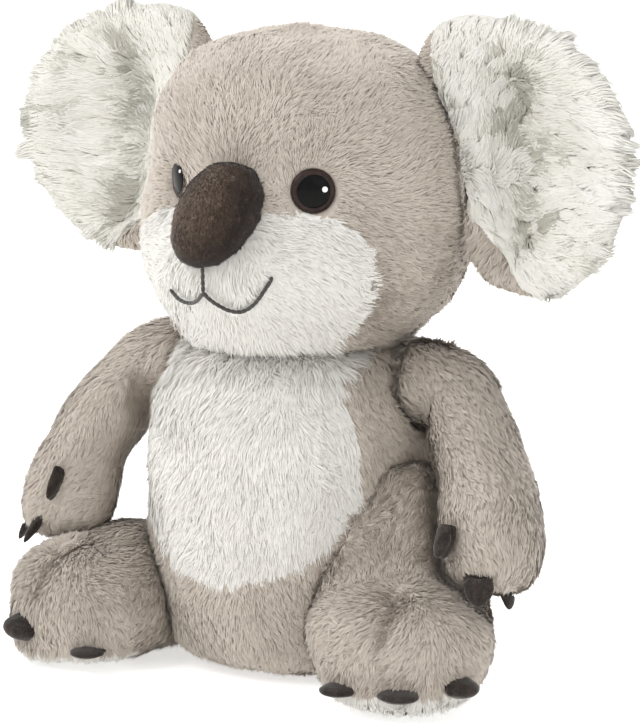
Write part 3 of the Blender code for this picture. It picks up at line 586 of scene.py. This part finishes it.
def dressForm(form, whiteShare, slotName):  # knit backing in both colours, under a stuffed shape
    finishForm(form, slotName, 0.7, "taupeBacking", "whiteBacking")
    mesh = form["object"].data
    corners = fetch(mesh.loops, "vertex_index", 1, np.int32)[:, 0]
    first = corners[fetch(mesh.polygons, "loop_start", 1, np.int32)[:, 0]]
    mesh.polygons.foreach_set("material_index", (whiteShare[first] > 0).astype(np.int32))


dressForm(bodyForm, white, "taupe_plush")


# Head

eyeFits = {  # how far the pile stops from the eye, its push inwards and upwards, and its dot
    "left": {"clear": 9.2 * mm, "push": 0.0, "lift": 1.0 * mm, "dot": (4.4, 0.8, 1.15)},
    "right": {"clear": 7.4 * mm, "push": 2.4 * mm, "lift": 2.6 * mm, "dot": (4.4, 3.0, 0.7)}}
eyeTurn = math.radians(38)  # from straight ahead to each eye's axis
eyes = {}
for hand, label in bothSides:
    axis = np.array([math.sin(eyeTurn) * hand, -math.cos(eyeTurn), 0.0])
    sideways = np.cross(up, axis)
    spots = np.array([v.co for v in cadNodes["eye_" + label].data.vertices])
    mid = [(spots @ d).min() / 2 + (spots @ d).max() / 2 for d in (sideways, up)]
    dome = axis * (spots @ axis).max() + sideways * mid[0] + up * mid[1]
    eyes[label] = {"axis": axis, "top": dome, **eyeFits[label]}

mouth = {"middle": 28.6 * mm, "left": (24.5 * mm, 6.2 * mm, 9.5 * mm),  # width, rise and drop
         "right": (21.8 * mm, -1.9 * mm, 5.6 * mm), "fullness": 0.8, "radius": 0.85 * mm,
         "stitch": 3.0 * mm, "overlap": 1.35, "stray": 0.07, "lift": 0.6 * mm,
         "flatten": 4.0 * mm}  # how far from the thread the pile is cut shorter
faceTree = nodeTree("face_panel")


def onFace(x, z):  # the place on the face straight behind x and z, and which way it faces
    spot, facing, _, _ = faceTree.ray_cast(Vector((x, -0.2, z)), Vector((0, 1, 0)))
    return np.array(spot), np.array(facing)


lipLine = []
for way in np.linspace(-1, 1, 61):
    width, rise, drop = mouth["left" if way > 0 else "right"]
    lipLine.append(onFace(width * way, neckHeight + mouth["middle"] + rise * way ** 2
                          - drop * math.sin(math.pi * abs(way)) ** mouth["fullness"]))
noseLine = [onFace(0.0, z)
            for z in np.linspace(neckHeight + mouth["middle"], noseLow.z + 1 * mm, 12)]


def nearMouth(points):
    gap = np.minimum(*(gapTo(points, [spot for spot, _ in line[::3]])
                       for line in (lipLine, noseLine)))
    return bell(gap, mouth["flatten"])


faceOutline = [(x * mm, z * mm) for x, z in (  # the white face's edge, down to the chin
    (0, 196), (28, 195), (39, 193.2), (46, 190), (51, 185.5), (54, 179), (55, 172), (54, 165),
    (52, 158.5), (48.5, 151), (43.5, 146), (37, 141), (33, 136), (30, 120))]
headShape = {
    "voxel": 2.5 * mm, "lumps": 0.5 * mm, "mouthRaise": 0.5 * mm, "neckEase": (-2 * mm, 9 * mm),
    "noseGap": 0.1 * mm, "eyeReach": 15 * mm, "eyeSpread": 2.2,  # the pile turns away from the eyes
    "mouthTrim": 0.6, "eyeTrim": 0.3, "eyeTrimReach": 4 * mm,
    "neckPile": 0.4, "neckPileTo": 12 * mm,
    # the side of the head away from the lamp: how much darker, from x to x and from z to z
    "shade": 0.28, "shadeSide": (10 * mm, 55 * mm), "shadeHeight": (160 * mm, 200 * mm)}


def headDepth(points):
    drawn = pileDraw - headShape["mouthRaise"] * nearMouth(points)
    return drawn * atNeck(points, *headShape["neckEase"])


headForm = stuffedForm("head_form", "head", ["head_cover", "face_panel", "head_filling"],
                       headShape["voxel"], headDepth, lumps=headShape["lumps"])
outer = headForm["outer"]
white = np.where(outer[:, 1] < 0, insideOutline(outer[:, 0], outer[:, 2], faceOutline), -1.0)
noseNear = farFrom(outer, ["nose_cover"]) - headShape["noseGap"]
eyeNear = np.min([np.linalg.norm(outer - e["top"], axis=1) - e["clear"] for e in eyes.values()],
                 axis=0)
clearFace = np.minimum(noseNear, eyeNear)


def headComb(points):  # away from the nose, and away from each eye near it
    flow = unit(points - noseSpot)
    for e in eyes.values():
        away = points - e["top"]
        near = bell(np.linalg.norm(away, axis=1), headShape["eyeReach"])[:, None]
        flow = flow + headShape["eyeSpread"] * near * unit(away)
    return flow


headTrim = 1 - headShape["mouthTrim"] * nearMouth(outer) - headShape["eyeTrim"] * bell(
    np.maximum(eyeNear, 0), headShape["eyeTrimReach"])
headTrim += headShape["neckPile"] * (1 - atNeck(outer, 0, headShape["neckPileTo"]))
# painted shade on the side of the head away from the lamp
headPaintedShade = headShape["shade"] * smooth(outer[:, 0], *headShape["shadeSide"])
headPaintedShade = headPaintedShade * (1 - smooth(outer[:, 2], *headShape["shadeHeight"]))
growPile("head_pile", headForm, shortPile, headComb, np.minimum(-white, clearFace), seed=21,
         trim=headTrim, shade=headPaintedShade)
growPile("face_pile", headForm, whitePile, headComb, np.minimum(white, clearFace), seed=22,
         trim=headTrim)
dressForm(headForm, white, "taupe_plush")


# Ears

def oneSide(shape, label):  # a piece's dictionary, with this side's value where the two differ
    return {key: value[label] if isinstance(value, dict) else value
            for key, value in shape.items()}


earShape = {"middle": (89.5 * mm, 8 * mm, 215 * mm), "rim": 57 * mm, "rimDraw": 3.5 * mm,
            "valleyTop": (88.5 * mm, 238 * mm), "valleyFoot": (93 * mm, 182 * mm),  # x and z
            "valleyDepth": 6.0 * mm, "valleyWidth": 8.0 * mm, "fill": 2.0 * mm,
            "topIn": 7 * mm, "topUp": 5 * mm, "topKeep": {"left": 0.35, "right": 0.0},
            "footOut": {"left": 3.0 * mm, "right": -2.5 * mm},
            "footDown": {"left": 6.0 * mm, "right": -1.5 * mm},
            # painted shade in the ear's valley: how much darker, on each side
            "shade": {"left": 0.46, "right": 0.36},
            "voxel": 2.0 * mm, "draw": 2.0 * mm, "partHeight": 206 * mm,
            "fillAt": 19 * mm, "fillWidth": 13 * mm,  # the fuller hair outside the valley
            # where the white hair stops and the taupe back shows: x and z of points, from the top
            "edge": ((54.0 * mm, 262 * mm), (61.0 * mm, 229.5 * mm), (73 * mm, 196 * mm),
                     (104 * mm, 158.4 * mm), (112 * mm, 150 * mm))}


def makeEar(label, hand):
    ear = oneSide(earShape, label)
    middle = np.array(ear["middle"]) * (hand, 1, 1)
    top, foot = ear["valleyTop"], ear["valleyFoot"]
    back, front = "ear_back_" + label, "ear_front_" + label

    def fromValley(points):  # how far out of the valley, and how far past its ends
        height = np.clip(points[:, 2], foot[1], top[1])
        line = np.interp(height, (foot[1], top[1]), (foot[0], top[0]))
        return points[:, 0] * hand - line, points[:, 2] - height

    def depth(points):
        frontal = farFrom(points, [back]) > farFrom(points, [front]) + 1.5 * mm
        out, past = fromValley(points)
        valley = bell(np.hypot(out, past), ear["valleyWidth"])
        fill = bell(np.hypot(out - ear["fillAt"], past), ear["fillWidth"])
        return ear["draw"] + frontal * (valley * ear["valleyDepth"] - fill * ear["fill"])

    def lean(points):  # the ear's top leans to the head, and its foot goes out or in
        high = smooth(points[:, 2], middle[2], middle[2] + 50 * mm)
        low = smooth(-points[:, 2], -middle[2] + 8 * mm, -middle[2] + 52 * mm)
        low = low * smooth((points[:, 0] - middle[0]) * hand, -22 * mm, 12 * mm)
        inner = 1 - smooth((points[:, 0] - middle[0]) * hand, -30 * mm, 20 * mm)
        highIn = high * (inner + ear["topKeep"] * (1 - inner))
        across = ear["footOut"] * low - ear["topIn"] * highIn
        raised = ear["topUp"] * high * inner - ear["footDown"] * low
        return points + np.stack([across * hand, 0 * low, raised], 1)

    form = stuffedForm("ear_form_" + label, "ear_" + label, [front, back], ear["voxel"], depth,
                       rounds=4, shape=lean)
    outer = form["outer"]
    away = (outer - middle) * (1, 0, 1)
    reach = np.linalg.norm(away, axis=1)
    rim = ((reach - 0.55 * ear["rim"]) / (0.45 * ear["rim"])).clip(0, 1) ** 1.5
    points = form["points"] - unit(away) * (rim * ear["rimDraw"])[:, None]
    writePoints(form["object"].data, points)
    form["points"], form["triangles"], form["normals"] = readMesh(form["object"].data)
    edge = np.array(ear["edge"])[::-1]
    inside = outer[:, 0] * hand - np.interp(outer[:, 2], edge[:, 1], edge[:, 0])
    onFront = farFrom(outer, [back]) - farFrom(outer, [front])
    white = np.minimum(onFront + 1.6 * mm, inside * 0.7)

    def earComb(points):  # out of the valley to the rim, and over the inner fold to the head
        out, past = fromValley(points)
        rest = points[:, 2] - ear["partHeight"]
        inner = np.stack([0.35 + 0 * rest, 0 * rest, np.clip(rest / (14 * mm), -1, 1)], 1)
        inner[:, 0] += 0.4 * (rest < 0) * np.clip(-rest / (20 * mm), 0, 1)
        radial = unit(np.stack([np.maximum(out, 0) + 1 * mm, 0 * out, past], 1))
        share = np.clip(out / (6 * mm) + 0.5, 0, 1)[:, None]
        return (inner * (1 - share) + radial * share) * (hand, 1, 1)

    out, past = fromValley(outer)
    trim = (0.62 + 0.38 * np.clip(out / (12 * mm) + 0.6, 0, 1)) * (1 - 0.3 * rim)
    # painted shade, darkest along the valley
    dark = ear["shade"] * bell(np.hypot(out, past / 2), 6 * mm)
    growPile("ear_long_pile_" + label, form, earPile, earComb, white, seed=31 + hand, trim=trim,
             shade=dark)
    growPile("ear_back_pile_" + label, form, earBackPile,
             lambda p: unit((p - middle) * (0.5, 0, 1)) - 0.8 * up, -white,
             seed=41 + hand, trim=1 - 0.55 * rim)
    dressForm(form, white, "long_pile")


for hand, label in bothSides:
    makeEar(label, hand)


# Arms and legs

armShape = {
    "shoulder": (52 * mm, -1 * mm, 121 * mm), "paw": (110 * mm, -46 * mm, 44 * mm),
    # how the photo's arms differ from a straight one, grown over swellOver from the axis
    "innerSwell": {"left": 4.5 * mm, "right": 14.5 * mm},
    "inward": {"left": 0.0, "right": 3.0 * mm},
    "outerSwell": {"left": 3.8 * mm, "right": 0.0}, "elbow": {"left": 0.0, "right": 16.5 * mm},
    "elbowAt": (0.47, 0.17),  # its middle and spread, as shares of the way to the paw
    # shade: painted shade, a darker pile on the arm away from the key lamp
    "swellOver": 14 * mm, "shade": {"left": 0.1, "right": 0.0},
    "voxel": 2.2 * mm, "draw": 1.9 * mm, "lumps": 0.4 * mm,
    "shoulderFill": 1.2 * mm, "shoulderPile": 0.4, "shoulderEnd": (4 * mm, 24 * mm)}
legShape = {
    "root": (48.5 * mm, 6 * mm), "heading": math.radians(25), "ankle": (58 * mm, 70 * mm),
    "dart": ((79.5, -61.5, 50.4), (82.4, -74.0, 43.9), (82.7, -79.5, 38.8), (82.3, -82.7, 34.7)),
    # the Shade numbers are painted shade: in the dart's crease, on the thigh behind the foot, and a
    # little over the whole leg
    "dartDepth": 4.0 * mm, "dartWidth": 2.8 * mm, "dartShade": 0.42,
    "thighDrop": {"left": -4.0 * mm, "right": 5.5 * mm}, "thighShade": {"left": 0.22, "right": 0.1},
    "soleFrom": 55 * mm, "soleHeight": {"left": 12 * mm, "right": 8 * mm}, "soleFlare": 5 * mm,
    "footShade": 0.13, "voxel": 2.4 * mm, "draw": 1.9 * mm, "lumps": 0.4 * mm}
clawGap = {"clear": 0.3 * mm, "short": 0.7, "fade": 9 * mm}  # the pile near a claw
clawFits = {  # how each claw is sewn on: shift in mm, x outwards, stretch, and lean to +X
    "paw_claw_left_1": ((-1.8, -1.7, 0.0), (0.85, 0.9, 1.3), 0.0),
    "paw_claw_left_2": ((0.4, 0.5, -3.4), (1.2, 1.0, 1.15), 0.0),
    "paw_claw_left_3": ((-0.4, 0.5, -1.6), (0.5, 0.7, 0.66), 0.0),
    "paw_claw_right_1": ((-3.4, 0.0, 3.0), (0.42, 0.7, 1.4), 0.42),
    "paw_claw_right_2": ((-4.2, 0.0, -3.6), (0.42, 0.7, 1.1), 0.45),
    "paw_claw_right_3": ((0.6, 0.5, 0.0), (0.55, 0.7, 0.8), 0.2),
    "foot_claw_left_1": ((-0.8, 0.8, -2.9), (1.08, 1.0, 0.7), 0.0),
    "foot_claw_left_2": ((-0.4, 0.4, -2.2), (1.2, 1.0, 0.75), 0.0),
    "foot_claw_left_3": ((0.0, 0.6, -0.8), (1.0, 1.0, 1.1), 0.0),
    "foot_claw_right_1": ((-6.0, 3.2, -4.8), (1.0, 0.9, 0.6), 0.0),
    "foot_claw_right_2": ((0.3, 0.4, 1.8), (1.15, 1.0, 1.5), -0.3),
    "foot_claw_right_3": ((-2.0, 5.0, 0.0), (0.8, 0.8, 0.8), 0.0)}


def clawTrim(near):  # shorter pile beside a claw
    return (clawGap["short"] + near / clawGap["fade"]).clip(0, 1)


def makeClaw(kind, label, hand, k, body, towards):
    name = f"{kind}_claw_{label}_{k}"
    low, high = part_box(name)
    middle = np.array((low + high) / 2)
    inward = (Vector(towards) - (low + high) / 2).normalized() * 4 * mm
    shift, stretch, lean = clawFits[name]
    shift = np.array(shift) * mm * (hand, 1, 1)
    turn = np.diag(stretch)
    turn[0, 2] = lean
    form = stuffedForm(name.replace("claw", "claw_suede"), body, [name], 0.7 * mm, 0.2 * mm,
                       sink=[inward], rounds=3,
                       shape=lambda points: middle + shift + (points - middle) @ turn.T)
    finishForm(form, "suede", 0.8, "suede")
    return BVHTree.FromPolygons(form["points"].tolist(), form["triangles"].tolist())


def makeArm(label, hand, claws):
    arm = oneSide(armShape, label)
    side = (hand, 1, 1)
    start, end = np.array(arm["shoulder"]) * side, np.array(arm["paw"]) * side
    along = end - start

    def swell(points):
        share = ((points - start) @ along / (along @ along)).clip(0, 1)
        off = (points - start - share[:, None] * along)[:, 0] * -hand
        within, beyond = (smooth(d, 0, arm["swellOver"]) for d in (off, -off))
        elbow, spread = arm["elbowAt"]
        grow = smooth(share, 0.12, 0.42) * within * arm["innerSwell"]
        grow -= smooth(share, 0.3, 0.7) * beyond * arm["outerSwell"]
        grow += bell(share - elbow, spread) * within * arm["elbow"]
        move = smooth(share, 0.1, 0.7) * arm["inward"]
        return points - np.stack([(grow + move) * hand, 0 * off, 0 * off], 1)

    def shoulder(points):
        return 1 - smooth((points - start) @ unit(along), *arm["shoulderEnd"])

    def depth(points):
        return arm["draw"] - arm["shoulderFill"] * shoulder(points)

    form = stuffedForm("arm_form_" + label, "arm_" + label,
                       ["arm_cover_" + label, "arm_filling_" + label], arm["voxel"], depth,
                       lumps=arm["lumps"], shape=swell)
    near = farFrom(form["outer"], claws)
    # the shade given here is painted shade
    growPile("arm_pile_" + label, form, shortPile, lambda p: unit(along),
             near - clawGap["clear"], seed=51 + hand,
             trim=clawTrim(near) + arm["shoulderPile"] * shoulder(form["outer"]),
             shade=np.full(len(near), arm["shade"]))
    dressForm(form, -near - 1, "taupe_plush")


def makeLeg(label, hand, claws):
    leg = oneSide(legShape, label)
    side = (hand, 1, 1)
    heading = leg["heading"]
    aim = np.array([math.sin(heading) * hand, -math.cos(heading), 0])
    root = np.array([leg["root"][0] * hand, leg["root"][1], 0])
    dart = np.array(leg["dart"]) * mm * side

    def lowerThigh(points):  # and the sole's edge goes out over the floor
        ahead = (points - root) @ aim
        share = 1 - smooth(ahead, 30 * mm, 62 * mm)
        share = share * smooth(points[:, 2], 20 * mm, 50 * mm)
        flare = smooth(ahead, 45 * mm, 62 * mm) * (1 - smooth(points[:, 2], 2 * mm, 16 * mm))
        outwards = unit((points - root - aim * 60 * mm) * (1, 1, 0))
        return (points - up * (share * leg["thighDrop"])[:, None]
                + outwards * (flare * leg["soleFlare"])[:, None])

    def dartNear(points):
        return bell(gapTo(points, dart), leg["dartWidth"])

    def depth(points):
        hole = bell(np.linalg.norm(points - dart[0], axis=1), leg["dartWidth"])
        return leg["draw"] + leg["dartDepth"] * (dartNear(points) + 0.7 * hole)

    form = stuffedForm("leg_form_" + label, "torso",
                       ["leg_cover_" + label, "sole_" + label, "leg_filling_" + label],
                       leg["voxel"], depth, lumps=leg["lumps"], shape=lowerThigh,
                       sink=[(-4 * mm * hand, 1 * mm, 0)])
    outer = form["outer"]
    near = farFrom(outer, claws)
    ahead = (outer - root) @ aim
    white = farFrom(outer, ["leg_cover_" + label]) - farFrom(outer, ["sole_" + label])
    white = np.maximum(white, leg["soleHeight"] - outer[:, 2])
    white = np.minimum(white, ahead - leg["soleFrom"])

    def legComb(points):  # down the leg, and over the foot away from the dart
        share = smooth((points - root) @ aim, *leg["ankle"])[:, None]
        return (aim - 0.35 * up) * (1 - share) + (unit(points - dart[0]) - 0.3 * up) * share

    trim = clawTrim(near) * (1 - 0.5 * dartNear(outer))
    # painted shade: in the dart's crease, on the thigh behind the foot, and over the leg
    thigh = 1 - smooth(ahead, 50 * mm, 62 * mm)
    dark = leg["dartShade"] * dartNear(outer) + leg["thighShade"] * thigh
    dark += leg["footShade"]
    clear = near - clawGap["clear"]
    growPile("leg_pile_" + label, form, shortPile, legComb, np.minimum(-white, clear),
             seed=61 + hand, trim=trim, shade=dark)
    growPile("sole_pile_" + label, form, solePile, legComb, np.minimum(white, clear),
             seed=71 + hand, trim=trim)
    dressForm(form, white, "taupe_plush")


for hand, label in bothSides:
    paw = [makeClaw("paw", label, hand, k, "arm_" + label, (98 * mm * hand, -36 * mm, 66 * mm))
           for k in (1, 2, 3)]
    foot = [makeClaw("foot", label, hand, k, "torso", (73 * mm * hand, -47 * mm, 22 * mm))
            for k in (1, 2, 3)]
    makeArm(label, hand, paw)
    makeLeg(label, hand, foot)


# Nose, eyes and mouth

noseShape = {
    "lean": 0.14,  # how far its top goes to +X for its height
    "stretch": 0.09,  # how much taller its upper half is than its cover
    "sink": [(0, 3 * mm, -0.5 * mm), (0, 6 * mm, -1 * mm)], "voxel": 1.2 * mm, "draw": 0.9 * mm,
    "comb": np.array([0.2, -0.4, -1.0]),
    # painted light and shade: the velvet is paler on the side that this points to, where the key
    # lamp falls, and darker away from it
    "brushed": (-0.75, -0.1, 0.65), "shade": 0.15, "paintedLightBy": 0.75}


def leanNose(points):
    height = points[:, 2] - noseSpot[2]
    return (points + np.outer(height, (noseShape["lean"], 0, 0))
            + np.outer(height.clip(0, None), (0, 0, noseShape["stretch"])))


noseForm = stuffedForm("nose_form", "head", ["nose_cover", "nose_filling"], noseShape["voxel"],
                       noseShape["draw"], sink=noseShape["sink"], rounds=5, shape=leanNose)
finishForm(noseForm, "velvet", 0.9, "velvet")
# painted light and shade: fibres facing the lamp's side paler, the others darker
lit = noseForm["normals"] @ unit(np.array(noseShape["brushed"]))
growPile("nose_pile", noseForm, nosePile, lambda p: noseShape["comb"], np.ones(len(lit)), seed=81,
         shade=noseShape["shade"] - noseShape["paintedLightBy"] * lit)

eyeShape = {
    "sides": 48, "dotSides": 24, "dotLift": (0.05, 0.08),
    # radius and depth below the dome's top, in mm, then which plastic
    "rings": ((0.0, 0.0, 0), (1.6, 0.05, 0), (3.2, 0.22, 0), (4.8, 0.5, 0), (5.9, 0.82, 0),
              (6.5, 1.06, 0), (6.7, 1.25, 0), (6.8, 1.38, 1), (7.0, 1.26, 1), (7.6, 1.36, 1),
              (8.3, 1.72, 1), (8.8, 2.25, 1), (8.97, 2.9, 1), (8.9, 4.1, 1), (0.0, 4.4, 1))}


def addToHead(name, mesh, node, slotName, *names):
    for finish in names:
        mesh.materials.append(finishes[finish])
    obj = addObject(name, mesh)
    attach(obj, "head")
    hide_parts(node)


def circle(radius, sides):
    turns = [math.tau * k / sides for k in range(sides)]
    return [(radius * math.cos(turn), radius * math.sin(turn)) for turn in turns]


def makeEye(label):
    eye = eyes[label]
    spot, axis = eye["top"] - eye["axis"] * eye["push"] + up * eye["lift"], Vector(eye["axis"])
    sideways = Vector((0, 0, 1)).cross(axis)
    turn = Matrix((sideways, (0, 0, 1), axis)).transposed().to_4x4()
    turn.translation = spot
    bm = bmesh.new()
    sides = eyeShape["sides"]
    rings = []
    for radius, below, _ in eyeShape["rings"]:
        rings.append([bm.verts.new((x, y, -below))
                      for x, y in circle(radius, sides if radius else 1)])
    for (one, two), (_, _, finish) in zip(zip(rings, rings[1:]), eyeShape["rings"][1:]):
        for k in range(sides):
            corners = [one[k % len(one)], two[k % len(two)], two[(k + 1) % len(two)],
                       one[(k + 1) % len(one)]]
            face = bm.faces.new(list(dict.fromkeys(corners)))
            face.material_index = finish
    across, above, size = eye["dot"]
    radii, depths, _ = zip(*eyeShape["rings"][:8])
    edge, middle = eyeShape["dotLift"]  # how far the paint stands on the dome, in mm

    def onDome(x, y, lift):
        return bm.verts.new((x, y, lift - np.interp(math.hypot(x, y), radii, depths)))

    corners = eyeShape["dotSides"]
    dot = [onDome(across + x, above + y, edge) for x, y in circle(size, corners)]
    centre = onDome(across, above, middle)
    for k in range(corners):
        bm.faces.new((centre, dot[k], dot[(k + 1) % corners])).material_index = 2
    bmesh.ops.recalc_face_normals(bm, faces=bm.faces)
    mesh = meshOf(bm, "eye_plastic_" + label)
    mesh.transform(turn @ Matrix.Scale(mm, 4))
    addToHead("eye_plastic_" + label, mesh, "eye_" + label, "eye_plastic",
              "blackEye", "brownEye", "paint")
    cadNodes["eye_washer_" + label].data.materials.clear()
    cadNodes["eye_washer_" + label].data.materials.append(finishes["washer"])


def makeStitches(name, line, node, seed):
    dice = np.random.default_rng(seed)
    spots = np.array([spot + facing * mouth["lift"] for spot, facing in line])
    steps = np.r_[0, np.cumsum(np.linalg.norm(np.diff(spots, axis=0), axis=1))]
    bm = bmesh.new()
    number = max(2, round(steps[-1] / mouth["stitch"] * mouth["overlap"]))
    for k in range(number):
        centre = steps[-1] * (k + 0.5) / number
        ends = [np.clip(centre + s * mouth["stitch"] / 2, 0, steps[-1]) for s in (-1, 1)]
        start, end = (np.array([np.interp(e, steps, spots[:, c]) for c in range(3)]) for e in ends)
        aim = Vector(end - start)
        spin = aim.to_track_quat("Z", "Y").to_matrix().to_4x4()
        tilt = (Matrix.Rotation(dice.normal(0, mouth["stray"]), 4, "X")
                @ Matrix.Rotation(dice.normal(0, mouth["stray"]), 4, "Y"))
        size = Matrix.Diagonal((mouth["radius"], mouth["radius"], aim.length / 2 + 0.3 * mm, 1))
        bmesh.ops.create_uvsphere(bm, u_segments=10, v_segments=8, radius=1.0,
                                  matrix=Matrix.Translation((start + end) / 2) @ spin @ tilt @ size)
    addToHead(name, meshOf(bm, name), node, "thread", "thread")


makeEye("left")
makeEye("right")
makeStitches("lip_thread", lipLine, "lip_stitch", 91)
makeStitches("nose_thread", noseLine, "nose_stitch", 92)
print("face made")


# Floor, light and camera

studio = {  # world and card levels, then each lamp's place, watts and size: key, fill and back
    "world": 0.89, "cardGlow": 0.36, "cardSeen": 0.55, "aim": (0, 0, 0.13), "lamps": (
        ((-1.0, -1.2, 1.9), 29.0, 2.1), ((1.7, -1.0, 0.9), 1.2, 1.2), ((0.1, 1.2, 1.9), 18.0, 1.2))}
# The photograph's view: degrees round and up, metres away, and the picture's middle across and up
view = {"round": 30, "up": 10, "away": 1.325, "middle": (6.36 * mm, 122.2 * mm), "lens": 155.7}


def makeStage():  # white card that glows a little, so that it meets a white world
    material, tree, shader = newMaterial("white_card", Base_Color=linear("#f2f2f0"), Roughness=0.9)
    seen = addNode(tree, "LightPath")
    shown = addNode(tree, "MapRange", {0: seen.outputs["Is Camera Ray"],
                                       3: studio["cardGlow"], 4: studio["cardSeen"]})
    glow = addNode(tree, "Emission", {"Color": linear("#ffffff"),
                                      "Strength": shown.outputs["Result"]})
    both = addNode(tree, "AddShader", {0: shader.outputs[0], 1: glow.outputs[0]})
    tree.links.new(both.outputs[0], tree.nodes["Material Output"].inputs["Surface"])
    bm = bmesh.new()
    bmesh.ops.create_grid(bm, x_segments=1, y_segments=1, size=6.0)
    mesh = meshOf(bm, "floor")
    mesh.materials.append(material)
    addObject("floor", mesh)
    world = bpy.context.scene.world or bpy.data.worlds.new("studio")
    bpy.context.scene.world = world
    world.use_nodes = True
    tree = world.node_tree
    sky = tree.nodes["Background"]
    sky.inputs["Color"].default_value = linear("#ffffff")
    seen = addNode(tree, "LightPath")
    either = addNode(tree, "Math", {0: seen.outputs["Is Camera Ray"],
                                    1: seen.outputs["Is Glossy Ray"]}, operation="MAXIMUM")
    level = addNode(tree, "MapRange", {0: either.outputs["Value"], 3: studio["world"], 4: 1.0})
    tree.links.new(level.outputs["Result"], sky.inputs["Strength"])


def makeLamps():  # round softboxes
    for k, (place, watts, size) in enumerate(studio["lamps"]):
        lamp = bpy.data.lights.new(f"softbox_{k + 1}", "AREA")
        lamp.shape = "DISK"
        lamp.energy = watts
        lamp.size = size
        obj = addObject(lamp.name, lamp)
        obj.location = place
        obj.rotation_mode = "QUATERNION"
        obj.rotation_quaternion = (Vector(place) - Vector(studio["aim"])).to_track_quat("Z", "Y")


def makeCamera():
    turn, rise = math.radians(view["round"]), math.radians(view["up"])
    back = Vector((math.sin(turn) * math.cos(rise), -math.cos(turn) * math.cos(rise),
                   math.sin(rise)))
    right = Vector((math.cos(turn), math.sin(turn), 0))
    top = back.cross(right)
    camera = bpy.data.cameras.new("photo_camera")
    camera.lens = view["lens"]
    obj = addObject("photo_camera", camera)
    place = Matrix((right, top, back)).transposed().to_4x4()
    across, above = view["middle"]
    place.translation = right * across + top * above + back * view["away"]
    obj.matrix_world = place
    bpy.context.scene.camera = obj


makeStage()
makeLamps()
makeCamera()
bpy.context.scene.view_settings.view_transform = "Standard"
print("stage, lamps and camera made")
